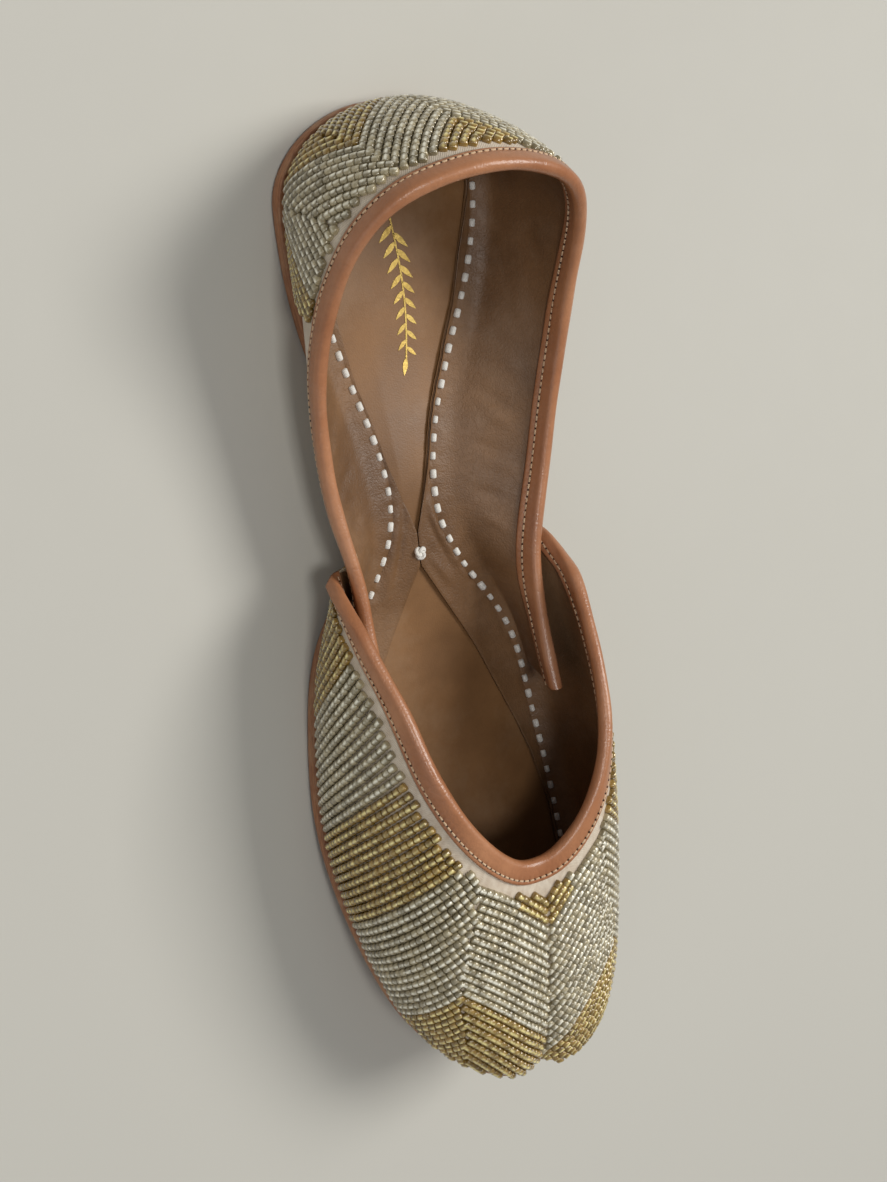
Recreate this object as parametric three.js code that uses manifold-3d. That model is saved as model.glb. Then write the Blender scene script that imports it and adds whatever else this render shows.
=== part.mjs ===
// Mojari: a flat leather slip-on shoe with a beaded vamp and heel.
// Frame: millimetres, +X from heel to toe, +Y to the wearer's left, +Z up.
// Stations and tables count x from the back of the heel; the finished shoe is then
// moved so that its origin is on the floor, under the middle of its overall box.

import * as THREE from 'three';
import { mergeVertices } from 'three/addons/utils/BufferGeometryUtils.js';
import Module from 'manifold-3d';

// ---------------------------------------------------------------- driving dimensions

const LENGTH = 252;            // outsole, heel to toe
const TOE_SPRING = 30;         // rise of the outsole's tip
const SPRING_START = 155;      // the outsole leaves the floor here
const SPRING_POWER = 2;
const ARCH_RISE = 3.2;         // rise of the outsole at the waist
const ARCH_CENTRE = 98;
const ARCH_REACH = 42;         // from the middle of the arch to its end
const INWARD_CURVE = 9;        // how far the toe's centre swings to the wearer's left
const CURVE_START = 90;
const WAIST_LEAN = 2.7;        // how far the sole's waist stands off to the wearer's right
const LEAN_CENTRE = 82;
const LEAN_REACH = 62;
const HEEL_ROUND = 22.8;       // length of the round back end of the outline
const TOE_ROUND = 36;          // length of the blunt front end of the outline
const TOE_BLUNTNESS = 3.36;
const INNER_BLUNTNESS = 6;      // the toe is fuller on the wearer's left
const NOTCH_DEPTH = 2.8;       // small dip in the middle of the toe
const NOTCH_WIDTH = 5;

const SOLE_THICK = 4;
const SOLE_BEVEL = 0.7;
const INSOLE_THICK = 2;
const INSOLE_INSET = 4.2;      // from the outsole's edge to the insole's edge
const VAMP_INSET = 1.3;        // from the outsole's edge to the vamp's outer face
const QUARTER_INSET = 2.2;
const WALL = 1.5;              // upper: leather, cloth and lining together
const GAP = 0.3;               // between pieces that touch

const TAPE_THICK = 0.7;
const TAPE_GAP = 0.62;         // between the tape and the wall that it folds over
const TAPE_WIDTH = 5.4;        // each leg of the folded tape

const OUTLINE_STEPS = 48;      // along one half of a sole outline
const VAMP_STEPS = 68;
const VAMP_ROWS = 10;
const QUARTER_STEPS = 60;
const QUARTER_ROWS = 7;
const SPINE_FRONT = 240;       // the plates' middle line ends here, near the toe
const SPINE_BACK = 10;

// Half width of the outsole at each station.
const SOLE_TABLE = table(['x', 'half'], [
  [0, 27.8],
  [25, 29.0],
  [50, 24.8],
  [78, 15.3],
  [105, 14.0],
  [130, 28.4],
  [155, 34.8],
  [180, 37.2],
  [205, 35.6],
  [228, 31.2],
  [252, 23.2],
]);

// A wall rises from the outline at `foot` to the top edge (topX, topHalf, topZ).
// bulge and rise lift its lower handle off the foot; flare and lift push its upper
// handle off the straight line from top to foot.
const WALL_COLUMNS = ['foot', 'topX', 'topHalf', 'topZ', 'bulge', 'rise', 'flare', 'lift'];

const QUARTER_TABLE = table(WALL_COLUMNS, [
  [0, 13.5, 0, 54.0, 5.4, 9, 6.2, 2.0],
  [3, 15.0, 12.5, 52.7, 5.2, 9, 5.6, 2.0],
  [10, 19.2, 23.2, 49.2, 4.8, 9, 4.8, 1.5],
  [22, 28.4, 30.8, 42.2, 4.6, 9, 3.8, 1.0],
  [40, 44.0, 34.2, 32.5, 5.0, 8, 3.6, -1.0],
  [60, 61.0, 34.8, 25.6, 5.6, 6, 4.0, -3.0],
  [78, 78.0, 33.2, 22.0, 5.8, 4, 4.6, -3.6],
  [95, 95.0, 30.4, 20.8, 6.2, 4, 5.0, -3.0],
  [108, 109.0, 27.2, 20.9, 5.2, 6, 2.8, -2.0],
  [122, 122.5, 26.0, 21.9, 2.4, 7, 0.8, -0.3],
  [134, 136.0, 25.8, 24.2, 0.6, 6, 0.4, 0.0],
  [146, 149.0, 25.6, 27.4, 0.0, 6, 0.0, 0.0],
]);

const VAMP_TABLE = table(WALL_COLUMNS, [
  [111, 111.0, 31.6, 15.6, 6.0, 2.4, 1.0, -1.4],
  [114, 112.4, 32.4, 19.4, 6.8, 3.4, 1.8, -1.6],
  [118, 115.2, 32.8, 24.0, 7.4, 4.6, 2.8, -1.6],
  [124, 119.0, 32.6, 29.0, 7.4, 6.4, 4.0, -1.2],
  [131, 125.8, 31.6, 33.8, 7.2, 8.4, 4.2, 0.0],
  [145, 137.0, 29.4, 40.6, 6.4, 11.0, 4.8, 0.0],
  [162, 148.4, 27.5, 45.2, 5.4, 12.0, 5.6, 1.0],
  [182, 159.2, 24.3, 48.2, 5.0, 11.6, 6.8, 3.4],
  [205, 169.2, 19.2, 49.6, 4.8, 10.8, 8.6, 6.0],
  [226, 177.4, 12.9, 49.4, 4.4, 9.2, 9.6, 7.4],
  [242, 182.8, 6.6, 48.4, 4.0, 7.0, 10.0, 6.4],
  [252, 184.6, 0, 47.8, 3.6, 5.5, 9.6, 4.8],
]);

const FINISH = {
  outsole: { color: 0xb57a4c, roughness: 0.6 },
  insole: { color: 0x8a6440, roughness: 0.5 },
  upper: { color: 0xa3987c, roughness: 0.6 },
  binding: { color: 0xb8784e, roughness: 0.45 },
};

// ---------------------------------------------------------------- tables and curves

/** Turn rows into one array for each named column. */
function table(names, rows) {
  const columns = {};
  names.forEach((name, i) => {
    columns[name] = rows.map((row) => row[i]);
  });
  return columns;
}

/** Natural cubic spline through (keys, values); keys rise. */
function spline(keys, values) {
  const n = keys.length;
  const bend = new Array(n).fill(0);
  const carry = new Array(n).fill(0);
  for (let i = 1; i < n - 1; i += 1) {
    const before = keys[i] - keys[i - 1];
    const after = keys[i + 1] - keys[i];
    const share = before / (before + after);
    const pivot = share * bend[i - 1] + 2;
    const jump = (values[i + 1] - values[i]) / after - (values[i] - values[i - 1]) / before;
    bend[i] = (share - 1) / pivot;
    carry[i] = ((6 * jump) / (before + after) - share * carry[i - 1]) / pivot;
  }
  const second = new Array(n).fill(0);
  for (let i = n - 2; i > 0; i -= 1) {
    second[i] = bend[i] * second[i + 1] + carry[i];
  }
  return (key) => {
    let i = 0;
    while (i < n - 2 && key > keys[i + 1]) {
      i += 1;
    }
    const width = keys[i + 1] - keys[i];
    const b = (key - keys[i]) / width;
    const a = 1 - b;
    const curved = (a ** 3 - a) * second[i] + (b ** 3 - b) * second[i + 1];
    return a * values[i] + b * values[i + 1] + (curved * width * width) / 6;
  };
}

const clamp = THREE.MathUtils.clamp;
const soleHalfAt = spline(SOLE_TABLE.x, SOLE_TABLE.half);

/** Height of the outsole's underside above the floor. */
function bed(x) {
  const spring = Math.max(0, (x - SPRING_START) / (LENGTH - SPRING_START));
  const arch = clamp((x - ARCH_CENTRE) / ARCH_REACH, -1, 1);
  return TOE_SPRING * spring ** SPRING_POWER + ARCH_RISE * Math.cos((arch * Math.PI) / 2) ** 2;
}

/** Sideways shift of the shoe's centre line. */
function swing(x) {
  return INWARD_CURVE * Math.max(0, (x - CURVE_START) / (LENGTH - CURVE_START)) ** 2;
}

/** Sideways shift of the sole's waist under the upper. */
function lean(x) {
  const along = clamp((x - LEAN_CENTRE) / LEAN_REACH, -1, 1);
  return -WAIST_LEAN * Math.cos((along * Math.PI) / 2) ** 2;
}

/** Half width of the outsole, closed by its round heel and blunt toe. */
function soleHalf(x) {
  const heel = clamp((HEEL_ROUND - x) / HEEL_ROUND, 0, 1);
  const toe = clamp((x - LENGTH + TOE_ROUND) / TOE_ROUND, 0, 1);
  return soleHalfAt(x) * Math.sqrt(1 - heel ** 2) * Math.sqrt(1 - toe ** TOE_BLUNTNESS);
}

/** How much fuller the toe is on the wearer's left than the plain outline. */
function innerToe(x) {
  const toe = clamp((x - LENGTH + TOE_ROUND) / TOE_ROUND, 0, 0.9999);
  return Math.sqrt((1 - toe ** INNER_BLUNTNESS) / (1 - toe ** TOE_BLUNTNESS));
}

// ---------------------------------------------------------------- outline by its length

const OUTLINE = measureOutline(900);

/** Sample the half outline from heel centre to toe centre, with running length. */
function measureOutline(samples) {
  const points = [];
  let run = 0;
  for (let i = 0; i <= samples; i += 1) {
    const x = (LENGTH / 2) * (1 - Math.cos((Math.PI * i) / samples));
    const y = soleHalf(x);
    if (i > 0) {
      const last = points[i - 1];
      run += Math.hypot(x - last.x, y - last.y);
    }
    points.push({ x, y, run });
  }
  return { points, total: run };
}

/** Length along the half outline at station x. */
function runAt(x) {
  const points = OUTLINE.points;
  let i = 1;
  while (i < points.length - 1 && points[i].x < x) {
    i += 1;
  }
  const a = points[i - 1];
  const b = points[i];
  return a.run + ((b.run - a.run) * (x - a.x)) / (b.x - a.x);
}

/** Point of the half outline; a run past either end comes back on the right side. */
function outlineRaw(run) {
  const total = OUTLINE.total;
  const side = run < 0 || run > total ? -1 : 1;
  const folded = run < 0 ? -run : run > total ? 2 * total - run : run;
  const points = OUTLINE.points;
  let low = 0;
  let high = points.length - 1;
  while (high - low > 1) {
    const middle = (low + high) >> 1;
    if (points[middle].run > folded) {
      high = middle;
    } else {
      low = middle;
    }
  }
  const a = points[low];
  const b = points[high];
  const f = clamp((folded - a.run) / (b.run - a.run), 0, 1);
  const y = a.y + (b.y - a.y) * f;
  const x = a.x + (b.x - a.x) * f;
  return new THREE.Vector2(x, side > 0 ? y * innerToe(x) : -y);
}

/** How far the dip in the toe sets the outline back. */
function notchAt(point) {
  return point.x > LENGTH / 2 ? NOTCH_DEPTH * Math.exp(-((point.y / NOTCH_WIDTH) ** 2)) : 0;
}

/** Outline point moved inwards by `inset`, with its outward direction. */
function outlineAt(run, inset) {
  const step = 0.8;
  const ahead = outlineRaw(run + step);
  const behind = outlineRaw(run - step);
  const out = new THREE.Vector2(behind.y - ahead.y, ahead.x - behind.x).normalize();
  const point = outlineRaw(run);
  point.x -= notchAt(point);
  point.y += lean(point.x);
  return { point: point.addScaledVector(out, -inset), out };
}

// ---------------------------------------------------------------- walls of the upper

/** Splines of a wall table along the outline, carried past its mirror line. */
function wallSplines(rows, mirrorRun) {
  const runs = rows.foot.map(runAt);
  const order = runs.map((run, i) => ({ key: run, i, side: 1 }));
  runs.forEach((run, i) => {
    if (Math.abs(run - mirrorRun) > 1e-6) {
      order.push({ key: 2 * mirrorRun - run, i, side: -1 });
    }
  });
  order.sort((a, b) => a.key - b.key);
  const keys = order.map((o) => o.key);
  const lines = {};
  for (const name of WALL_COLUMNS.slice(1)) {
    const odd = name === 'topHalf';
    lines[name] = spline(keys, order.map((o) => rows[name][o.i] * (odd ? o.side : 1)));
  }
  return lines;
}

/** Wall surface: (run along the outline, 0 at the sole to 1 at the top edge) to a point. */
function wallSurface(rows, mirrorRun, inset) {
  const lines = wallSplines(rows, mirrorRun);
  return (run, t) => {
    const { point, out } = outlineAt(run, inset);
    const outward = new THREE.Vector3(out.x, out.y, 0);
    const foot = new THREE.Vector3(point.x, point.y, bed(point.x) + SOLE_THICK + GAP);
    const top = new THREE.Vector3(lines.topX(run), lines.topHalf(run), lines.topZ(run));
    const low = foot.clone().addScaledVector(outward, lines.bulge(run));
    low.z += lines.rise(run);
    const high = top.clone().lerp(foot, 1 / 3).addScaledVector(outward, lines.flare(run));
    high.z += lines.lift(run);
    const curve = new THREE.CubicBezierCurve3(foot, low, high, top);
    const place = curve.getPoint(t);
    place.y += swing(place.x);
    return place;
  };
}

/** Direction out of the wall, across both of its ways. */
function wallNormal(surface, run, t) {
  const along = surface(run + 0.4, t).sub(surface(run - 0.4, t));
  const t0 = Math.max(0, t - 0.02);
  const t1 = Math.min(1, t + 0.02);
  const up = surface(run, t1).sub(surface(run, t0));
  return up.cross(along).normalize();
}

// ---------------------------------------------------------------- closed meshes

/** Collects faces by their corner points and closes them into one mesh. */
class Faces {
  constructor() {
    this.corners = [];
  }

  triangle(a, b, c) {
    this.corners.push(a.x, a.y, a.z, b.x, b.y, b.z, c.x, c.y, c.z);
  }

  quad(a, b, c, d) {
    this.triangle(a, b, c);
    this.triangle(a, c, d);
  }

  geometry() {
    const geometry = new THREE.BufferGeometry();
    geometry.setAttribute('position', new THREE.Float32BufferAttribute(this.corners, 3));
    return dropSlivers(mergeVertices(geometry, 1e-4));
  }
}

/** Remove triangles with two equal corners, and turn the mesh's faces outwards. */
function dropSlivers(geometry) {
  const index = geometry.index.array;
  const kept = [];
  for (let i = 0; i < index.length; i += 3) {
    const [a, b, c] = [index[i], index[i + 1], index[i + 2]];
    if (a !== b && b !== c && c !== a) {
      kept.push(a, b, c);
    }
  }
  if (signedVolume(geometry, kept) < 0) {
    for (let i = 0; i < kept.length; i += 3) {
      [kept[i + 1], kept[i + 2]] = [kept[i + 2], kept[i + 1]];
    }
  }
  geometry.setIndex(kept);
  return geometry;
}

function signedVolume(geometry, index) {
  const position = geometry.attributes.position;
  const corner = [0, 1, 2].map(() => new THREE.Vector3());
  let volume = 0;
  for (let i = 0; i < index.length; i += 3) {
    corner.forEach((v, k) => v.fromBufferAttribute(position, index[i + k]));
    volume += corner[0].dot(corner[1].clone().cross(corner[2])) / 6;
  }
  return volume;
}

/** Close rings of equal length, one after another along a strip, with capped ends. */
function skinRings(rings) {
  const faces = new Faces();
  for (let i = 0; i + 1 < rings.length; i += 1) {
    const count = rings[i].length;
    for (let j = 0; j < count; j += 1) {
      const k = (j + 1) % count;
      faces.quad(rings[i][j], rings[i][k], rings[i + 1][k], rings[i + 1][j]);
    }
  }
  return faces;
}

/** Cap a ring whose first half runs opposite its second half, as a ladder. */
function capLadder(faces, ring, first) {
  const count = ring.length;
  for (let j = 0; j + 1 < count / 2; j += 1) {
    const corners = [ring[j], ring[j + 1], ring[count - 2 - j], ring[count - 1 - j]];
    faces.quad(...(first ? corners.reverse() : corners));
  }
}

/** One wall of the upper as a closed shell of even thickness. */
function wallShell(surface, from, to, steps, rows) {
  const rings = [];
  for (let i = 0; i <= steps; i += 1) {
    const run = from + ((to - from) * i) / steps;
    const outer = [];
    const inner = [];
    for (let j = 0; j <= rows; j += 1) {
      const t = j / rows;
      const face = surface(run, t);
      outer.push(face);
      inner.push(face.clone().addScaledVector(wallNormal(surface, run, t), -WALL));
    }
    inner[0].z = Math.max(inner[0].z, outer[0].z);
    rings.push([...outer, ...inner.reverse()]);
  }
  const faces = skinRings(rings);
  capLadder(faces, rings[0], true);
  capLadder(faces, rings[steps], false);
  return faces.geometry();
}

// ---------------------------------------------------------------- folded tapes

/** Section of the tape: [distance out of the wall's middle, depth below its edge]. */
function tapeSection() {
  const near = WALL / 2 + TAPE_GAP;
  const far = near + TAPE_THICK;
  const arcSteps = 3;
  const outer = [[far, TAPE_WIDTH], [far, TAPE_WIDTH / 2]];
  const inner = [[near, TAPE_WIDTH], [near, TAPE_WIDTH / 2]];
  for (let i = 0; i <= arcSteps; i += 1) {
    const angle = (Math.PI * i) / arcSteps;
    outer.push([far * Math.cos(angle), -far * Math.sin(angle)]);
    inner.push([near * Math.cos(angle), -near * Math.sin(angle)]);
  }
  outer.push([-far, TAPE_WIDTH / 2], [-far, TAPE_WIDTH]);
  inner.push([-near, TAPE_WIDTH / 2], [-near, TAPE_WIDTH]);
  return [...outer, ...inner.reverse()];
}

/** Ring of the tape's section, laid along the wall at one run. */
function tapeRing(surface, run) {
  const samples = 40;
  const trail = [];
  let length = 0;
  let last = surface(run, 1);
  for (let i = 0; i <= samples; i += 1) {
    const t = 1 - (0.7 * i) / samples;
    const point = surface(run, t);
    length += point.distanceTo(last);
    trail.push({ t, length });
    last = point;
  }
  const normal = wallNormal(surface, run, 1);
  const edge = surface(run, 1);
  const up = edge.clone().sub(surface(run, 0.97)).normalize();
  return tapeSection().map(([out, depth]) => {
    if (depth <= 0) {
      return edge.clone().addScaledVector(normal, out - WALL / 2).addScaledVector(up, -depth);
    }
    const i = Math.max(1, trail.findIndex((mark) => mark.length >= depth));
    const a = trail[i - 1];
    const b = trail[i];
    const t = a.t + ((b.t - a.t) * (depth - a.length)) / (b.length - a.length);
    return surface(run, t).addScaledVector(wallNormal(surface, run, t), out - WALL / 2);
  });
}

/** Tape over a wall's top edge from end to end, at the wall's own steps. */
function tape(surface, from, to, steps) {
  const rings = [];
  for (let i = 0; i <= steps; i += 1) {
    rings.push(tapeRing(surface, from + ((to - from) * i) / steps));
  }
  const faces = skinRings(rings);
  capLadder(faces, rings[0], true);
  capLadder(faces, rings[steps], false);
  return faces.geometry();
}

// ---------------------------------------------------------------- soles

/** Plate that follows the bed: edge rows are [inset, height above the bed]. */
function plate(edgeRows) {
  const total = OUTLINE.total;
  const count = 2 * OUTLINE_STEPS;
  const rings = edgeRows.map(([inset, height]) => {
    const ring = [];
    for (let i = 0; i < count; i += 1) {
      const { point } = outlineAt(-total + (2 * total * (i + 1)) / count, inset);
      ring.push(lay(point.x, point.y, height));
    }
    return ring;
  });
  const faces = skinRings(rings);
  plateFace(faces, rings[0], edgeRows[0][1], false);
  plateFace(faces, rings[rings.length - 1], edgeRows[edgeRows.length - 1][1], true);
  return faces.geometry();
}

/** Point at a height above the bed, with the shoe's sideways curve. */
function lay(x, y, height) {
  return new THREE.Vector3(x, y + swing(x), bed(x) + height);
}

/** Flat side of a plate: ribs from its rim to its middle line. */
function plateFace(faces, rim, height, upper) {
  const spine = rim.map((p, i) => {
    const opposite = rim[(2 * rim.length - 2 - i) % rim.length];
    const x = clamp((p.x + opposite.x) / 2, SPINE_BACK, SPINE_FRONT);
    return lay(x, lean(x), height);
  });
  for (let i = 0; i < rim.length; i += 1) {
    const k = (i + 1) % rim.length;
    const corners = [rim[i], rim[k], spine[k], spine[i]];
    faces.quad(...(upper ? corners : corners.reverse()));
  }
}

// ---------------------------------------------------------------- joining

const wasm = await Module();
wasm.setup();

function toManifold(geometry) {
  return new wasm.Manifold(new wasm.Mesh({
    numProp: 3,
    vertProperties: Float32Array.from(geometry.attributes.position.array),
    triVerts: Uint32Array.from(geometry.index.array),
  }));
}

function fromManifold(manifold) {
  const mesh = manifold.getMesh();
  const geometry = new THREE.BufferGeometry();
  geometry.setAttribute('position', new THREE.BufferAttribute(mesh.vertProperties, 3));
  geometry.setIndex(new THREE.BufferAttribute(mesh.triVerts, 1));
  return geometry;
}

// ---------------------------------------------------------------- the shoe's pieces

function makeOutsole() {
  return plate([
    [SOLE_BEVEL, 0],
    [0, SOLE_BEVEL],
    [0, SOLE_THICK - SOLE_BEVEL / 2],
    [SOLE_BEVEL / 2, SOLE_THICK],
  ]);
}

function makeInsole() {
  const floor = SOLE_THICK + GAP;
  return plate([
    [INSOLE_INSET, floor],
    [INSOLE_INSET, floor + INSOLE_THICK],
  ]);
}

const quarterEnd = runAt(QUARTER_TABLE.foot[QUARTER_TABLE.foot.length - 1]);
const vampStart = runAt(VAMP_TABLE.foot[0]);
const vampEnd = 2 * OUTLINE.total - vampStart;
const quarterWall = wallSurface(QUARTER_TABLE, 0, QUARTER_INSET);
const vampWall = wallSurface(VAMP_TABLE, OUTLINE.total, VAMP_INSET);

function makeUpper() {
  const quarter = wallShell(quarterWall, -quarterEnd, quarterEnd, QUARTER_STEPS, QUARTER_ROWS);
  const vamp = wallShell(vampWall, vampStart, vampEnd, VAMP_STEPS, VAMP_ROWS);
  return fromManifold(toManifold(quarter).add(toManifold(vamp)));
}

function makeCollarBinding() {
  return tape(quarterWall, -quarterEnd, quarterEnd, QUARTER_STEPS);
}

function makeThroatBinding() {
  return tape(vampWall, vampStart, vampEnd, VAMP_STEPS);
}

function piece(name, geometry, finish) {
  geometry.computeVertexNormals();
  const material = new THREE.MeshStandardMaterial({ ...finish, metalness: 0 });
  const mesh = new THREE.Mesh(geometry, material);
  mesh.name = name;
  return mesh;
}

const shoe = new THREE.Group();
shoe.add(piece('outsole', makeOutsole(), FINISH.outsole));
shoe.add(piece('insole', makeInsole(), FINISH.insole));
shoe.add(piece('upper', makeUpper(), FINISH.upper));
shoe.add(piece('collar_binding', makeCollarBinding(), FINISH.binding));
shoe.add(piece('throat_binding', makeThroatBinding(), FINISH.binding));

const middle = new THREE.Box3().setFromObject(shoe).getCenter(new THREE.Vector3());
shoe.position.set(-middle.x, -middle.y, 0);
shoe.updateMatrixWorld(true);

export default shoe;
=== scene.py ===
"""A mojari: a flat leather-soled slipper with beaded cloth over a stitched leather lining.

The shoe's own axes run from the heel's back edge (x = 0) to the toe, and across from its centre
line towards the wearer's left; sizes are millimetres until a mesh is made.
"""
import math
from typing import Callable, NamedTuple

import bmesh
import bpy
import numpy as np
from mathutils import Matrix, Vector
from mathutils.bvhtree import BVHTree


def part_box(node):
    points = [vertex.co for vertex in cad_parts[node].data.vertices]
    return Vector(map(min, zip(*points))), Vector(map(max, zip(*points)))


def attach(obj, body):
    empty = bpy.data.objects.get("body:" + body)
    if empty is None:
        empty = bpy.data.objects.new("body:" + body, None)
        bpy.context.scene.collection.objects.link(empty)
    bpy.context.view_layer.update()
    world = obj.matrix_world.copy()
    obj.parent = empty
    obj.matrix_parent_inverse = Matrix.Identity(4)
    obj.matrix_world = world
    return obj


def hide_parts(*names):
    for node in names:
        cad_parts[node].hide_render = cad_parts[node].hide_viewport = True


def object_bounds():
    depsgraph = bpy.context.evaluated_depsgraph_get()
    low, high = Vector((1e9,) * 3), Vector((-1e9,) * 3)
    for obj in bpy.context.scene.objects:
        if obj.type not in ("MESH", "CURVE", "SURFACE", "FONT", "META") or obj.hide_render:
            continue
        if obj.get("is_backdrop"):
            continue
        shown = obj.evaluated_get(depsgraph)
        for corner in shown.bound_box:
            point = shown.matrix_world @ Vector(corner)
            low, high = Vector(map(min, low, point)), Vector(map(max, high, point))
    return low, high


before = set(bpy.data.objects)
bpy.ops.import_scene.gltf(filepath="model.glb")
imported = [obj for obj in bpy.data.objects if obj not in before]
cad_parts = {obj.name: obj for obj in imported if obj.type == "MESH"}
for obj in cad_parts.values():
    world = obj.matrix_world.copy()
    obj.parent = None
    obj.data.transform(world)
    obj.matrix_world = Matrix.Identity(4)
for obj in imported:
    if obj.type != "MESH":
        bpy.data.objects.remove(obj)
packed_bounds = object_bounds()

# ---- the shoe's sizes, in millimetres

MM = 0.001
LENGTH = 252.0
SOLE_THICK = 4.0
INSOLE_THICK = 2.0
GAP = 0.3
WALL = 1.5
TOE_SPRING = 30.0
SPRING_START = 155.0
ARCH_RISE = 3.2
ARCH_CENTRE = 98.0
ARCH_REACH = 42.0
INWARD_CURVE = 9.0
CURVE_START = 90.0
WAIST_LEAN = 2.7
LEAN_CENTRE = 82.0
LEAN_REACH = 62.0
HEEL_ROUND = 22.8
TOE_ROUND = 36.0
OUTER_BLUNTNESS = 3.36
INNER_BLUNTNESS = 6.0
NOTCH_DEPTH = 2.8
NOTCH_WIDTH = 5.0
VAMP_INSET = 1.3
QUARTER_INSET = 2.2
STEP_ALONG = 0.8                # how far either side an edge's direction is taken
STEP_UP = 0.02                  # the same up a wall, as a share of its height


def table(names, rows):
    """Rows of numbers as one array for each named column."""
    return {name: np.array(column) for name, column in zip(names.split(), zip(*rows))}


SOLE_TABLE = table("x half", [
    (0, 27.8), (25, 29.0), (50, 24.8), (78, 15.3), (105, 14.0), (130, 28.4),
    (155, 34.8), (180, 37.2), (205, 35.6), (228, 31.2), (252, 23.2),
])

# A wall row: the sole station it starts from, the top edge's place, and the pull of its curve:
# out and up at the foot, out and up below the top edge.
WALL_COLUMNS = "foot top_x top_half top_z bulge rise flare lift"
QUARTER_TABLE = table(WALL_COLUMNS, [
    (0, 13.5, 0, 54.0, 5.4, 9, 6.2, 2.0),
    (3, 15.0, 12.5, 52.7, 5.2, 9, 5.6, 2.0),
    (10, 19.2, 23.2, 49.2, 4.8, 9, 4.8, 1.5),
    (22, 28.4, 30.8, 42.2, 4.6, 9, 3.8, 1.0),
    (40, 44.0, 34.2, 32.5, 5.0, 8, 3.6, -1.0),
    (60, 61.0, 34.8, 25.6, 5.6, 6, 4.0, -3.0),
    (78, 78.0, 33.2, 22.0, 5.8, 4, 4.6, -3.6),
    (95, 95.0, 30.4, 20.8, 6.2, 4, 5.0, -3.0),
    (108, 109.0, 27.2, 20.9, 5.2, 6, 2.8, -2.0),
    (122, 122.5, 26.0, 21.9, 2.4, 7, 0.8, -0.3),
    (134, 136.0, 25.8, 24.2, 0.6, 6, 0.4, 0.0),
    (146, 149.0, 25.6, 27.4, 0.0, 6, 0.0, 0.0),
])
VAMP_TABLE = table(WALL_COLUMNS, [
    (111, 111.0, 31.6, 15.6, 6.0, 2.4, 1.0, -1.4),
    (114, 112.4, 32.4, 19.4, 6.8, 3.4, 1.8, -1.6),
    (118, 115.2, 32.8, 24.0, 7.4, 4.6, 2.8, -1.6),
    (124, 119.0, 32.6, 29.0, 7.4, 6.4, 4.0, -1.2),
    (131, 125.8, 31.6, 33.8, 7.2, 8.4, 4.2, 0.0),
    (145, 137.0, 29.4, 40.6, 6.4, 11.0, 4.8, 0.0),
    (162, 148.4, 27.5, 45.2, 5.4, 12.0, 5.6, 1.0),
    (182, 159.2, 24.3, 48.2, 5.0, 11.6, 6.8, 3.4),
    (205, 169.2, 19.2, 49.6, 4.8, 10.8, 8.6, 6.0),
    (226, 177.4, 12.9, 49.4, 4.4, 9.2, 9.6, 7.4),
    (242, 182.8, 6.6, 48.4, 4.0, 7.0, 10.0, 6.4),
    (252, 184.6, 0, 47.8, 3.6, 5.5, 9.6, 4.8),
])


# ---- the last's own curves

def spline(keys, values):
    """Natural cubic spline through (keys, values), as a function of an array."""
    keys, values = np.asarray(keys, float), np.asarray(values, float)
    gaps = np.diff(keys)
    slopes = np.diff(values) / gaps
    system = np.eye(len(keys))
    pull = np.zeros(len(keys))
    for i in range(1, len(keys) - 1):
        system[i, i - 1:i + 2] = gaps[i - 1] / 6, (gaps[i - 1] + gaps[i]) / 3, gaps[i] / 6
        pull[i] = slopes[i] - slopes[i - 1]
    second = np.linalg.solve(system, pull)

    def value(key):
        i = np.clip(np.searchsorted(keys, key) - 1, 0, len(keys) - 2)
        b = (key - keys[i]) / gaps[i]
        a = 1 - b
        bent = (a**3 - a) * second[i] + (b**3 - b) * second[i + 1]
        return a * values[i] + b * values[i + 1] + bent * gaps[i]**2 / 6

    return value


def unit(vectors):
    return vectors / np.maximum(np.linalg.norm(vectors, axis=-1, keepdims=True), 1e-9)


def bump(value, centre, reach):
    """Smooth hump of height 1 around a centre."""
    return np.cos(np.clip((value - centre) / reach, -1, 1) * math.pi / 2)**2


def bed(x):
    """Height of the outsole's underside above the floor."""
    spring = np.maximum(0, (x - SPRING_START) / (LENGTH - SPRING_START))
    return TOE_SPRING * spring**2 + ARCH_RISE * bump(x, ARCH_CENTRE, ARCH_REACH)


def swing(x):
    """Sideways shift of the shoe's centre line."""
    return INWARD_CURVE * np.maximum(0, (x - CURVE_START) / (LENGTH - CURVE_START))**2


def lean(x):
    """Sideways shift of the sole's waist under the upper."""
    return -WAIST_LEAN * bump(x, LEAN_CENTRE, LEAN_REACH)


sole_half_line = spline(SOLE_TABLE["x"], SOLE_TABLE["half"])


def sole_half(x):
    heel = np.clip((HEEL_ROUND - x) / HEEL_ROUND, 0, 1)
    toe = np.clip((x - LENGTH + TOE_ROUND) / TOE_ROUND, 0, 1)
    return sole_half_line(x) * np.sqrt(1 - heel**2) * np.sqrt(1 - toe**OUTER_BLUNTNESS)


def inner_toe(x):
    """How much fuller the toe is on the wearer's left than the plain outline."""
    toe = np.clip((x - LENGTH + TOE_ROUND) / TOE_ROUND, 0, 0.9999)
    return np.sqrt((1 - toe**INNER_BLUNTNESS) / (1 - toe**OUTER_BLUNTNESS))


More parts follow.
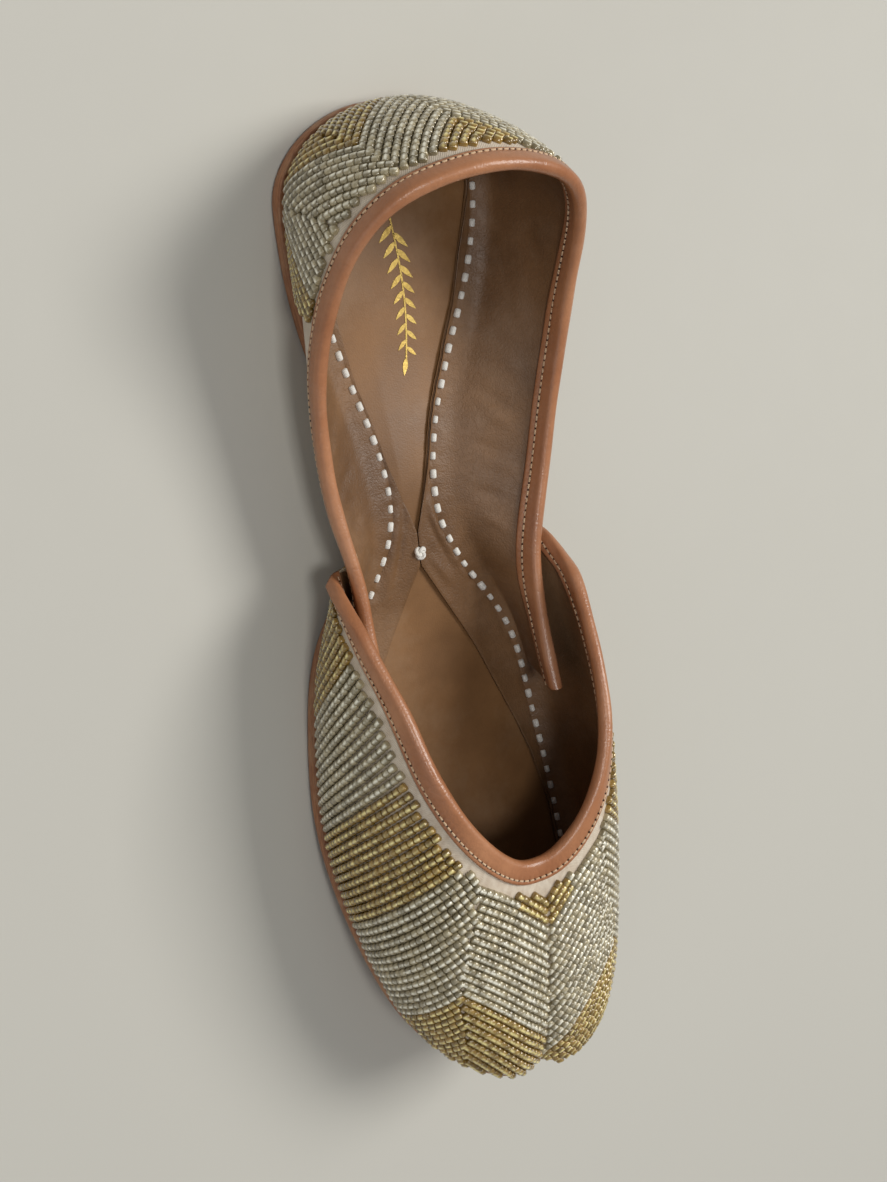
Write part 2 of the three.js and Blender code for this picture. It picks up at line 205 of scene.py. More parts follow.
class Outline:
    """The sole's outline, measured from the heel's centre (0) to the toe's centre (total) and on."""

    def __init__(self, samples=900):
        self.x = LENGTH / 2 * (1 - np.cos(np.linspace(0, math.pi, samples + 1)))
        self.y = sole_half(self.x)
        steps = np.hypot(np.diff(self.x), np.diff(self.y))
        self.run = np.concatenate([[0], np.cumsum(steps)])
        self.total = self.run[-1]

    def run_at(self, x):
        return np.interp(x, self.x, self.run)

    def plain(self, run):
        folded = self.total - np.abs(np.abs(run) - self.total)
        x = np.interp(folded, self.run, self.x)
        y = np.interp(folded, self.run, self.y)
        left = (run >= 0) & (run <= self.total)
        return np.stack([x, np.where(left, y * inner_toe(x), -y)], -1)

    def at(self, run, inset=0.0):
        """Point of the outline moved inwards, and its outward direction."""
        run = np.asarray(run, float)
        ahead, behind = self.plain(run + STEP_ALONG), self.plain(run - STEP_ALONG)
        out = unit(np.stack([behind[..., 1] - ahead[..., 1], ahead[..., 0] - behind[..., 0]], -1))
        point = self.plain(run)
        front = point[..., 0] > LENGTH / 2
        notch = NOTCH_DEPTH * np.exp(-(point[..., 1] / NOTCH_WIDTH)**2)
        point[..., 0] -= np.where(front, notch, 0)
        point[..., 1] += lean(point[..., 0])
        return point - out * np.asarray(inset)[..., None], out


outline = Outline()


def lay(x, y, height):
    """Point at a height above the bed, with the shoe's sideways curve."""
    return np.stack([x, y + swing(x), bed(x) + height], -1)


class Wall:
    """One wall of the upper: (run along the outline, 0 at the sole to 1 at the top edge) to a point."""

    def __init__(self, rows, mirror_run, inset):
        self.inset = inset
        runs = outline.run_at(rows["foot"])
        mirrored = np.abs(runs - mirror_run) > 1e-6
        keys = np.concatenate([runs, 2 * mirror_run - runs[mirrored]])
        order = np.argsort(keys)
        self.lines = {}
        for name in WALL_COLUMNS.split()[1:]:
            side = -1 if name == "top_half" else 1
            values = np.concatenate([rows[name], side * rows[name][mirrored]])
            self.lines[name] = spline(keys[order], values[order])

    def face(self, run, t):
        """Point of the wall's outer face."""
        run, t = np.broadcast_arrays(np.asarray(run, float), np.asarray(t, float))
        point, out = outline.at(run, self.inset)
        line = {name: at(run) for name, at in self.lines.items()}
        outward = np.concatenate([out, np.zeros(out.shape[:-1] + (1,))], -1)
        upward = np.array([0.0, 0.0, 1.0])
        foot = np.concatenate([point, (bed(point[..., 0]) + SOLE_THICK + GAP)[..., None]], -1)
        top = np.stack([line["top_x"], line["top_half"], line["top_z"]], -1)
        low = foot + outward * line["bulge"][..., None] + upward * line["rise"][..., None]
        high = (2 * top + foot) / 3
        high = high + outward * line["flare"][..., None] + upward * line["lift"][..., None]
        t = t[..., None]
        u = 1 - t
        place = u**3 * foot + 3 * u**2 * t * low + 3 * u * t**2 * high + t**3 * top
        place[..., 1] += swing(place[..., 0])
        return place

    def normal(self, run, t):
        """Direction out of the wall."""
        run, t = np.broadcast_arrays(np.asarray(run, float), np.asarray(t, float))
        along = self.face(run + STEP_ALONG / 2, t) - self.face(run - STEP_ALONG / 2, t)
        up = self.face(run, np.minimum(t + STEP_UP, 1)) - self.face(run, np.maximum(t - STEP_UP, 0))
        return unit(np.cross(up, along))

    def off(self, run, t, distance):
        """Point at a distance out of the wall's outer face."""
        return self.face(run, t) + self.normal(run, t) * np.asarray(distance)[..., None]


quarter = Wall(QUARTER_TABLE, 0.0, QUARTER_INSET)
vamp = Wall(VAMP_TABLE, outline.total, VAMP_INSET)
QUARTER_END = outline.run_at(QUARTER_TABLE["foot"][-1])
VAMP_START = outline.run_at(VAMP_TABLE["foot"][0])
VAMP_END = 2 * outline.total - VAMP_START
LINING_SHORT = 0.6              # how far short of the wall's ends each part stops
BEADS_SHORT = 1.2
SEAM_SHORT = 1.0


# ---- cloth laid flat

SETTLING_ROUNDS = 500
SETTLING_PULL = 0.12


class Pattern:
    """A stretch of wall with its cloth laid flat: each grid point has a place on the flat cloth."""

    def __init__(self, wall, from_run, to_run, columns, rows, upright):
        self.wall = wall
        runs = np.linspace(from_run, to_run, columns + 1)
        self.run, self.t = np.meshgrid(runs, np.linspace(0, 1, rows + 1), indexing="ij")
        self.points = wall.face(self.run, self.t)
        self.flat = self.relax(self.unrolled() if upright else self.fanned())

    def depths(self):
        """Length down the wall from its top edge."""
        steps = np.linalg.norm(np.diff(self.points, axis=1), axis=-1)
        down = np.cumsum(steps[:, ::-1], axis=1)[:, ::-1]
        return np.concatenate([down, np.zeros((len(steps), 1))], 1)

    def fanned(self):
        """Top edge seen from above, with each rib of the wall laid straight out from it."""
        top = self.points[:, -1, :2]
        along = unit(np.gradient(top, axis=0))
        out = np.stack([-along[:, 1], along[:, 0]], -1)
        return top[:, None] + out[:, None] * self.depths()[..., None]

    def unrolled(self):
        """Wall unrolled beside its sole edge, with each rib upright."""
        depth = self.depths()
        return np.stack([self.run, depth[:, :1] - depth], -1)

    def relax(self, flat):
        """Let the flat cloth settle until its threads have the lengths that they have on the last."""
        links = [((slice(1, None), slice(None)), (slice(None, -1), slice(None))),
                 ((slice(None), slice(1, None)), (slice(None), slice(None, -1))),
                 ((slice(1, None), slice(1, None)), (slice(None, -1), slice(None, -1))),
                 ((slice(1, None), slice(None, -1)), (slice(None, -1), slice(1, None)))]
        spans = [np.linalg.norm(self.points[a] - self.points[b], axis=-1, keepdims=True)
                 for a, b in links]
        for _ in range(SETTLING_ROUNDS):
            move = np.zeros_like(flat)
            for (a, b), span in zip(links, spans):
                gap = flat[a] - flat[b]
                length = np.maximum(np.linalg.norm(gap, axis=-1, keepdims=True), 1e-6)
                pull = gap * (span / length - 1)
                move[a] += pull
                move[b] -= pull
            flat = flat + SETTLING_PULL * move
        return flat


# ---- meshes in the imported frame

sole_low, sole_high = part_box("outsole")
rim_points = outline.at(np.linspace(-outline.total, outline.total, 1200))[0]
rim_y = rim_points[:, 1] + swing(rim_points[:, 0])
ORIGIN = np.array([
    sole_low[0] / MM - rim_points[:, 0].min(),
    (sole_low[1] + sole_high[1]) / 2 / MM - (rim_y.min() + rim_y.max()) / 2,
    0.0,
])


def in_frame(points):
    """Points in the shoe's own millimetres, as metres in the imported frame."""
    return (np.asarray(points) + ORIGIN) * MM


def add_object(name, mesh, material):
    mesh.materials.clear()
    mesh.materials.append(material)
    thing = bpy.data.objects.new(name, mesh)
    bpy.context.scene.collection.objects.link(thing)
    return thing


WELD = 1e-6                     # metres
CRISP = math.radians(40)


def add_mesh(name, points, faces, material, uv=None, smooth=True):
    """Mesh from points in millimetres; uv is each point's place on the laid-out material."""
    mesh = bpy.data.meshes.new(name)
    mesh.from_pydata(in_frame(points).tolist(), [], [list(face) for face in faces])
    mesh.polygons.foreach_set("use_smooth", [smooth] * len(mesh.polygons))
    if uv is not None:
        layer = mesh.uv_layers.new(name="laid_out")
        corners = np.empty(len(mesh.loops), dtype=np.int32)
        mesh.loops.foreach_get("vertex_index", corners)
        layer.data.foreach_set("uv", (np.asarray(uv)[corners] * MM).astype(np.float32).ravel())
    welded = bmesh.new()
    welded.from_mesh(mesh)
    bmesh.ops.remove_doubles(welded, verts=welded.verts, dist=WELD)
    welded.to_mesh(mesh)
    welded.free()
    mesh.validate()
    mesh.update()
    return add_object(name, mesh, material)


def grid_faces(columns, rows, ring=False):
    """Quads over a grid of points; `ring` closes its rows on themselves."""
    faces = []
    for i in range(columns - 1):
        for j in range(rows if ring else rows - 1):
            k = (j + 1) % rows
            faces.append((i * rows + k, (i + 1) * rows + k, (i + 1) * rows + j, i * rows + j))
    return faces


def ladder(ring, turned):
    """Cap for a flat ring whose first half runs opposite its second half."""
    faces = []
    for j in range(len(ring) // 2 - 1):
        quad = (ring[-1 - j], ring[-2 - j], ring[j + 1], ring[j])
        faces.append(quad[::-1] if turned else quad)
    return faces


def arc_lengths(points, axis=0):
    """Running length along one axis of a grid of points."""
    steps = np.linalg.norm(np.diff(points, axis=axis), axis=-1)
    total = np.cumsum(steps, axis=axis)
    return np.concatenate([np.zeros_like(np.take(total, [0], axis)), total], axis)


def closed_strip(name, rings, material, uv=None):
    """Solid strip from rings of points, one after another, with capped ends."""
    columns, rows = rings.shape[:2]
    faces = grid_faces(columns, rows, ring=True)
    faces += ladder(list(range(rows)), False)
    last = (columns - 1) * rows
    faces += ladder(list(range(last, last + rows)), True)
    flat_uv = None if uv is None else uv.reshape(-1, 2)
    return add_mesh(name, rings.reshape(-1, 3), faces, material, flat_uv)


def settle(piece):
    """Make a piece's modifiers part of its mesh, with its cut edges crisp."""
    evaluated = piece.evaluated_get(bpy.context.evaluated_depsgraph_get())
    made = bpy.data.meshes.new_from_object(evaluated)
    piece.modifiers.clear()
    piece.data = made
    made.set_sharp_from_angle(angle=CRISP)


def finish_piece(piece, replaces=()):
    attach(piece, "root")
    if replaces:
        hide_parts(*replaces)
    return piece


# ---- shader helpers

def srgb(red, green, blue):
    """Screen colour, 0 to 255, as the shader's linear colour."""
    def linear(value):
        value /= 255
        return value / 12.92 if value <= 0.04045 else ((value + 0.055) / 1.055)**2.4
    return linear(red), linear(green), linear(blue), 1.0


def add_node(tree, kind, inputs=None, **settings):
    """Node with its settings and inputs; an input is a value or another node's output."""
    made = tree.nodes.new(kind)
    for name, value in settings.items():
        setattr(made, name, value)
    for key, value in (inputs or {}).items():
        socket = made.inputs[key]
        if isinstance(value, bpy.types.NodeSocket):
            tree.links.new(value, socket)
        else:
            socket.default_value = value
    return made


def noise(tree, where, scale, detail=3.0, roughness=0.55, distortion=0.0):
    made = add_node(tree, "ShaderNodeTexNoise", {
        "Vector": where, "Scale": scale, "Detail": detail, "Roughness": roughness,
        "Distortion": distortion})
    return made.outputs["Fac"]


def math_node(tree, operation, first, second=0.0, third=0.0):
    made = add_node(tree, "ShaderNodeMath", {0: first, 1: second, 2: third}, operation=operation)
    return made.outputs[0]


def remap(tree, value, low, high, to_low=0.0, to_high=1.0):
    made = add_node(tree, "ShaderNodeMapRange", {
        "Value": value, "From Min": low, "From Max": high, "To Min": to_low, "To Max": to_high})
    return made.outputs["Result"]


def blend_colour(tree, factor, first, second):
    """Blend of two colours; each is another node's output or a screen colour."""
    pair = [each if isinstance(each, bpy.types.NodeSocket) else srgb(*each) for each in (first, second)]
    made = add_node(tree, "ShaderNodeMix", {0: factor, 6: pair[0], 7: pair[1]}, data_type="RGBA")
    return made.outputs[2]


def new_group(name, takes, gives):
    """Shader node group with named inputs (name, kind, default) and outputs (name, kind)."""
    tree = bpy.data.node_groups.new(name, "ShaderNodeTree")
    for label, kind, value in takes:
        tree.interface.new_socket(name=label, in_out="INPUT", socket_type=kind).default_value = value
    for label, kind in gives:
        tree.interface.new_socket(name=label, in_out="OUTPUT", socket_type=kind)
    return tree, tree.nodes.new("NodeGroupInput"), tree.nodes.new("NodeGroupOutput")


def label_of(key):
    """A socket's label from a keyword, such as "Pore scale" from pore_scale."""
    return key.replace("_", " ").capitalize()


def use_group(tree, group, **inputs):
    labelled = {label_of(key): value for key, value in inputs.items()}
    return add_node(tree, "ShaderNodeGroup", labelled, node_tree=group).outputs


def object_place(tree):
    return add_node(tree, "ShaderNodeTexCoord").outputs["Object"]


def new_material(name, **constants):
    """Material, its tree, its shader and the place on its piece; constants are sockets' plain values."""
    material = bpy.data.materials.new(name)
    material.use_nodes = True
    shader = material.node_tree.nodes["Principled BSDF"]
    for key, value in constants.items():
        shader.inputs[key.replace("_", " ")].default_value = value
    return material, material.node_tree, shader, object_place(material.node_tree)


def shade(colour, share, towards=0.0):
    """Colour kept by a share, the rest a grey from 0, black, to 255."""
    return [share * value + (1 - share) * towards for value in colour]


def join_up(tree, shader, colour, roughness, height, strength, distance):
    """Wire colour, roughness and a bump height into the shader."""
    tree.links.new(colour, shader.inputs["Base Color"])
    tree.links.new(roughness, shader.inputs["Roughness"])
    relief = add_node(tree, "ShaderNodeBump", {
        "Height": height, "Strength": strength, "Distance": distance})
    tree.links.new(relief.outputs["Normal"], shader.inputs["Normal"])


def laid_out_place(tree):
    return add_node(tree, "ShaderNodeUVMap", uv_map="laid_out").outputs["UV"]


# ---- shared effects

def leather_grain_group():
    """Pores, fine wrinkles and blotches of a smooth leather."""
    tree, taken, given = new_group("leather_grain", [
        ("Place", "NodeSocketVector", (0, 0, 0)),
        ("Pore scale", "NodeSocketFloat", 1400.0),
        ("Wrinkle scale", "NodeSocketFloat", 160.0),
        ("Wrinkle depth", "NodeSocketFloat", 0.5),
    ], [("Height", "NodeSocketFloat"), ("Blotch", "NodeSocketFloat"), ("Crease", "NodeSocketFloat")])
    place = taken.outputs["Place"]
    pores = add_node(tree, "ShaderNodeTexVoronoi", {"Vector": place, "Scale": taken.outputs["Pore scale"]})
    cells = remap(tree, pores.outputs["Distance"], 0.0, 0.6)
    fold = noise(tree, place, taken.outputs["Wrinkle scale"], 4.0, 0.6, 0.3)
    crease = remap(tree, math_node(tree, "ABSOLUTE", math_node(tree, "SUBTRACT", fold, 0.5)), 0.0, 0.07)
    depth = math_node(tree, "MULTIPLY", crease, taken.outputs["Wrinkle depth"])
    height = math_node(tree, "MULTIPLY_ADD", cells, 0.3, depth)
    tree.links.new(height, given.inputs["Height"])
    tree.links.new(noise(tree, place, 34.0, 3.0), given.inputs["Blotch"])
    tree.links.new(crease, given.inputs["Crease"])
    return tree


def weave_group():
    """Over-and-under threads of a plain cloth."""
    tree, taken, given = new_group("weave", [
        ("Place", "NodeSocketVector", (0, 0, 0)),
        ("Threads", "NodeSocketFloat", 2400.0),
    ], [("Height", "NodeSocketFloat"), ("Slub", "NodeSocketFloat")])
    place, threads = taken.outputs["Place"], taken.outputs["Threads"]
    split = add_node(tree, "ShaderNodeSeparateXYZ", {"Vector": place})
    waves = [math_node(tree, "SINE", math_node(tree, "MULTIPLY", split.outputs[axis], threads))
             for axis in ("X", "Y")]
    crossing = math_node(tree, "MULTIPLY", waves[0], waves[1])
    height = remap(tree, crossing, -1.0, 1.0)
    tree.links.new(height, given.inputs["Height"])
    tree.links.new(noise(tree, place, 260.0, 3.0), given.inputs["Slub"])
    return tree


def handling_group():
    """Soft patches of wear and dust over a finish."""
    tree, taken, given = new_group("handling", [
        ("Place", "NodeSocketVector", (0, 0, 0)),
        ("Scale", "NodeSocketFloat", 30.0),
        ("Amount", "NodeSocketFloat", 0.5),
    ], [("Mask", "NodeSocketFloat")])
    rough = noise(tree, taken.outputs["Place"], taken.outputs["Scale"], 6.0, 0.7)
    patches = remap(tree, rough, 0.5, 0.72)
    tree.links.new(math_node(tree, "MULTIPLY", patches, taken.outputs["Amount"]), given.inputs["Mask"])
    return tree


LEATHER_GRAIN = leather_grain_group()
WEAVE = weave_group()
HANDLING = handling_group()


# ---- finishes

LEATHER_RELIEF = 0.0004         # depth of each finish's relief, in metres
FINE_RELIEF = 0.0002
FOIL_RELIEF = 0.0001
WORN_GREY = 235.0


def leather(name, light, dark, pores, wrinkles, depth, rough, relief, gloss):
    """Dyed leather: grain, blotches of the dye, wear, painted shade along its creases and a soft shine."""
    material, tree, shader, place = new_material(name, Specular_IOR_Level=gloss)
    grain = use_group(tree, LEATHER_GRAIN, place=place, pore_scale=pores, wrinkle_scale=wrinkles,
                      wrinkle_depth=depth)
    worn = use_group(tree, HANDLING, place=place, scale=26.0, amount=0.35)["Mask"]
    dye = blend_colour(tree, remap(tree, grain["Blotch"], 0.32, 0.68), dark, light)
    # Painted shade: the colour darkens along the wrinkle grooves, where shade falls.
    painted_crease_shade = blend_colour(tree, remap(tree, grain["Crease"], 0.0, 1.0, 0.28 * depth + 0.04, 0.0),
                           dye, shade(dark, 0.5))
    colour = blend_colour(tree, worn, painted_crease_shade, shade(light, 0.75, WORN_GREY))
    roughness = remap(tree, grain["Blotch"], 0.3, 0.7, rough - 0.07, rough + 0.08)
    join_up(tree, shader, colour, roughness, grain["Height"], relief, LEATHER_RELIEF)
    return material


def cloth(name, light, dark):
    """Plain woven cotton with a slight sheen, and painted shade in the hollows between its threads."""
    material, tree, shader, place = new_material(name, Sheen_Weight=0.25, Sheen_Roughness=0.4)
    woven = use_group(tree, WEAVE, place=laid_out_place(tree), threads=9000.0)
    worn = use_group(tree, HANDLING, place=place, scale=45.0, amount=0.4)["Mask"]
    thread = blend_colour(tree, remap(tree, woven["Slub"], 0.35, 0.65), dark, light)
    # Painted shade: the colour darkens where the weave's height is low, between the threads.
    painted_weave_shade = blend_colour(tree, remap(tree, woven["Height"], 0.0, 0.6, 0.35, 0.0), thread, shade(dark, 0.72))
    colour = blend_colour(tree, worn, painted_weave_shade, shade(dark, 0.9))
    roughness = remap(tree, woven["Slub"], 0.3, 0.7, 0.62, 0.8)
    join_up(tree, shader, colour, roughness, woven["Height"], 0.5, FINE_RELIEF)
    return material


def bead_glass(name, deep, pale, glint):
    """Glass with a metal lining: each bead has its own depth of colour and a bright coat, with a pale dash
    down its outward face: the lining seen through the glass, painted as a highlight.
    """
    material, tree, shader, place = new_material(
        name, Metallic=0.12, Coat_Weight=1.0, Coat_Roughness=0.08, Coat_IOR=1.6)
    tint = add_node(tree, "ShaderNodeAttribute", attribute_name="tint").outputs["Fac"]
    cloudy = noise(tree, place, 900.0, 2.0)
    base = blend_colour(tree, tint, deep, pale)
    # Painted highlight: a pale dash down each bead's outward face, broken up by noise, stands in for the
    # metal lining's reflection.
    painted_gleam = add_node(tree, "ShaderNodeAttribute", attribute_name="painted_gleam").outputs["Fac"]
    lively = remap(tree, noise(tree, place, 520.0, 1.0), 0.36, 0.6, 0.12, 1.0)
    bright = math_node(tree, "MULTIPLY", remap(tree, painted_gleam, 0.3, 0.85), lively)
    colour = blend_colour(tree, bright, base, glint)
    roughness = remap(tree, cloudy, 0.35, 0.65, 0.16, 0.34)
    join_up(tree, shader, colour, roughness, cloudy, 0.15, FINE_RELIEF)
    return material


def thread(name, light, dark, twist):
    """Twisted cotton thread."""
    material, tree, shader, place = new_material(name, Sheen_Weight=0.3)
    plies = add_node(tree, "ShaderNodeTexWave", {
        "Vector": place, "Scale": twist, "Distortion": 3.0, "Detail": 2.0}, bands_direction="DIAGONAL")
    fuzz = noise(tree, place, 1800.0, 3.0)
    twisted = math_node(tree, "MULTIPLY", plies.outputs["Fac"], fuzz)
    colour = blend_colour(tree, twisted, light, dark)
    roughness = remap(tree, fuzz, 0.3, 0.7, 0.7, 0.9)
    join_up(tree, shader, colour, roughness, plies.outputs["Fac"], 0.6, FINE_RELIEF)
    return material


def foil(name, light, dark):
    """Gold foil pressed on leather, thin where the grain shows through."""
    material, tree, shader, place = new_material(name, Metallic=1.0)
    wrinkle = noise(tree, place, 1500.0, 3.0)
    drift = noise(tree, place, 90.0, 2.0)
    colour = blend_colour(tree, drift, light, dark)
    roughness = remap(tree, wrinkle, 0.3, 0.7, 0.36, 0.56)
    join_up(tree, shader, colour, roughness, wrinkle, 0.4, FOIL_RELIEF)
    return material


FLOOR_DARKENING_RISE = 0.0016             # how high the sole's edge darkens above the floor, in metres


def sole_edge(name, light, dark, scuffed):
    """Cut and stained sole leather: stacked fibres along the edge, darker near the floor."""
    material, tree, shader, place = new_material(name, Specular_IOR_Level=0.4)
    split = add_node(tree, "ShaderNodeSeparateXYZ", {"Vector": place})
    stretched = add_node(tree, "ShaderNodeMapping", {"Vector": place, "Scale": (1.0, 1.0, 9.0)})
    fibres = noise(tree, stretched.outputs["Vector"], 260.0, 4.0, 0.6)
    grain = use_group(tree, LEATHER_GRAIN, place=place, pore_scale=1100.0, wrinkle_scale=120.0,
                      wrinkle_depth=0.2)
    scuffs = use_group(tree, HANDLING, place=place, scale=70.0, amount=0.55)["Mask"]
    stain = blend_colour(tree, remap(tree, fibres, 0.35, 0.65), dark, light)
    # Darker towards the floor: the edge's lowest 1.6 mm blends towards a darker brown.
    low = remap(tree, split.outputs["Z"], 0.0, FLOOR_DARKENING_RISE, 0.5, 0.0)
    darker_low = blend_colour(tree, low, stain, shade(dark, 0.6))
    colour = blend_colour(tree, scuffs, darker_low, scuffed)
    height = math_node(tree, "MULTIPLY_ADD", fibres, 0.8, grain["Height"])
    roughness = remap(tree, fibres, 0.3, 0.7, 0.42, 0.62)
    join_up(tree, shader, colour, roughness, height, 0.35, LEATHER_RELIEF)
    return material


def floor_finish(name, light, dark):
    material, tree, shader, place = new_material(name)
    colour = blend_colour(tree, noise(tree, place, 3.0, 2.0), light, dark)
    roughness = remap(tree, noise(tree, place, 60.0), 0.3, 0.7, 0.8, 0.9)
    tree.links.new(colour, shader.inputs["Base Color"])
    tree.links.new(roughness, shader.inputs["Roughness"])
    return material


TAPE_LEATHER = leather("tape_leather", (182, 126, 88), (154, 98, 63), pores=1500.0, wrinkles=210.0,
                       depth=0.16, rough=0.34, relief=0.3, gloss=0.6)
# Painted shade: dark leather for the studs sunk at the needle holes, standing in for the shade inside
# them.
PAINTED_HOLE_SHADE = leather("painted_hole_shade", (70, 44, 28), (48, 30, 18), pores=1500.0, wrinkles=210.0,
                       depth=0.1, rough=0.7, relief=0.3, gloss=0.3)
LINING_LEATHER = leather("lining_leather", (130, 95, 62), (98, 69, 43), pores=1900.0, wrinkles=420.0,
                         depth=0.22, rough=0.5, relief=0.4, gloss=0.42)
INSOLE_LEATHER = leather("insole_leather", (140, 101, 63), (113, 80, 49), pores=2200.0, wrinkles=300.0,
                         depth=0.05, rough=0.46, relief=0.16, gloss=0.4)
SOLE_LEATHER = sole_edge("sole_leather", (176, 122, 86), (142, 92, 62), scuffed=(196, 160, 124))
UPPER_CLOTH = cloth("upper_cloth", (226, 212, 192), (206, 188, 166))
# Painted highlight: the third colour of each bead finish is the pale dash of its painted highlight.
SILVER_BEADS = bead_glass("beads_silver", (126, 114, 86), (176, 162, 128), glint=(255, 250, 230))
GOLD_BEADS = bead_glass("beads_gold", (116, 90, 36), (160, 127, 60), glint=(252, 234, 160))
TAPE_THREAD = thread("tape_thread", (240, 208, 168), (176, 128, 88), twist=2600.0)
COTTON = thread("cotton", (250, 247, 240), (206, 198, 182), twist=1500.0)
GOLD_FOIL = foil("gold_foil", (200, 174, 104), (164, 134, 70))
FLOOR = floor_finish("floor", (196, 193, 184), (190, 187, 178))


# ---- sole and insole

FLOOR_OF_FOOT = SOLE_THICK + GAP
SPINE_ENDS = (10.0, 240.0)
RIB_CROWDING = 0.8              # below 1, a plate's rings crowd towards its middle line

# Edge of a plate, bottom rim first: how far in from the outline, and how high above the bed.
SOLE_EDGE = [(1.6, 0.0), (0.8, 0.06), (0.3, 0.35), (0.05, 0.9), (0.0, 1.6), (0.0, 2.5), (0.04, 3.1),
             (0.22, 3.25), (0.08, 3.4), (0.1, 3.75), (0.5, 3.98), (1.1, 4.0)]
INSOLE_INSET = 4.2
INSOLE_FOOT = FLOOR_OF_FOOT
INSOLE_TOP = FLOOR_OF_FOOT + INSOLE_THICK
INSOLE_EDGE = [(INSOLE_INSET + 0.3, INSOLE_FOOT), (INSOLE_INSET, INSOLE_FOOT + 0.3),
               (INSOLE_INSET, INSOLE_TOP - 0.5), (INSOLE_INSET + 0.2, INSOLE_TOP - 0.2),
               (INSOLE_INSET + 0.7, INSOLE_TOP)]
PAD_CROWN = 0.55
PAD_WAIST = (109.0, 26.0)       # where the margins meet over the pad, and how far either way


def plate(name, edge_rows, columns, ribs, material, crown=None):
    """Plate that follows the bed, from the rows of its edge."""
    runs = np.linspace(-outline.total, outline.total, columns + 1)[1:]
    rim = [outline.at(runs, inset)[0] for inset, _ in edge_rows]
    rings = [lay(p[:, 0], p[:, 1], height) for p, (_, height) in zip(rim, edge_rows)]
    bottom = face_rings(rim[0], edge_rows[0][1], ribs, None)
    top = face_rings(rim[-1], edge_rows[-1][1], ribs, crown)
    rings = bottom[::-1] + rings + top
    points = np.stack(rings, 1)
    faces = []
    count, rows = points.shape[:2]
    for i in range(count):
        k = (i + 1) % count
        faces += [(i * rows + j + 1, k * rows + j + 1, k * rows + j, i * rows + j)
                  for j in range(rows - 1)]
    return add_mesh(name, points.reshape(-1, 3), faces, material)


def face_rings(rim, height, ribs, crown):
    """Rings from a plate's rim to its middle line; a crown adds height towards the middle."""
    opposite = rim[(2 * len(rim) - 2 - np.arange(len(rim))) % len(rim)]
    x = np.clip((rim[:, 0] + opposite[:, 0]) / 2, *SPINE_ENDS)
    spine = np.stack([x, lean(x)], -1)
    rings = []
    for step in range(1, ribs + 1):
        share = (step / ribs)**RIB_CROWDING
        p = rim + (spine - rim) * share
        lift = 0.0 if crown is None else crown(p[:, 0], share)
        rings.append(lay(p[:, 0], p[:, 1], height + lift))
    return rings


def make_outsole():
    piece = plate("outsole_leather", SOLE_EDGE, 520, 8, SOLE_LEATHER)
    finish_piece(piece, ["outsole"])


def insole_crown(x, share):
    """The pad swells between the margins and is pinched under their meeting at the waist."""
    return PAD_CROWN * np.minimum(1, 1.6 * share) * (1 - 0.9 * bump(x, *PAD_WAIST))


def make_insole():
    piece = plate("insole_pad", INSOLE_EDGE, 420, 16, INSOLE_LEATHER, insole_crown)
    finish_piece(piece, ["insole"])
    return piece


# ---- cloth of the upper

CLOTH = 0.7


def cloth_shell(name, wall, from_run, to_run, columns, rows):
    """Outer layer of a wall, as thick as its cloth."""
    run, t = np.meshgrid(np.linspace(from_run, to_run, columns + 1), np.linspace(0, 1, rows + 1),
                         indexing="ij")
    outer = wall.face(run, t)
    inner = wall.off(run, t, -CLOTH)
    rings = np.concatenate([outer, inner[:, ::-1]], 1)
    across = arc_lengths(outer, 0)
    up = arc_lengths(outer, 1)
    uv = np.stack([across[:, rows // 2][:, None] + 0 * up, up], -1)
    uv = np.concatenate([uv, uv[:, ::-1]], 1)
    piece = closed_strip(name, rings, UPPER_CLOTH, uv)
    finish_piece(piece, ["upper"])


# ---- lining with its turned-in margins

LINING_THICK = 0.8
LINING_FULLNESS = 0.5           # how far the quarter's lining stands off its wall halfway up
FULLNESS_AT = (0.5, 0.46)       # where on the wall that is, and how far up and down it fades
LINING_TOP = 0.97               # where the lining starts and turns, as a share of the wall's height
LINING_TURN = 0.2
TURN_INSET = 4.3                # the turn's corner, in from the sole's outline
TURN_HEIGHT = 0.5
TURN_PULL = 0.6
WALL_ROWS = 26
TURN_ROWS = 9
MARGIN_ROWS = 22
LAP_ROWS = 4                    # rows of the turn that the vamp's lining keeps under the quarter's
MARGIN_REACH = 7.0
MARGIN_SEAM = 145.0             # where the vamp's margin takes over from the quarter's
MARGIN_AIR = 0.12               # between the margin and the insole
LAP = 0.06                      # how much lower the vamp's margin lies
EDGE_LIFT = 0.7                 # how far the cut edge curls up on the wearer's left
EDGE_FADE = 3.0
EDGE_DROP = (0.05, 0.25)        # rounding of the cut edge, at its last two rows
FOLD_STRENGTH = 1.1

# Half the gap between the two margins, from the sole's middle line.
MARGIN_TABLE = table("x half", [
    (0, 30), (20, 22.4), (38, 18.2), (50, 16.4), (60, 13.6), (74, 9.8), (90, 4.8), (100, 1.6),
    (105, 0.15), (114, 0.15), (124, 5.6), (133, 10.6), (140, 14.2), (154, 20.2), (163, 24.0),
    (173, 27.3), (188, 30), (252, 31),
])

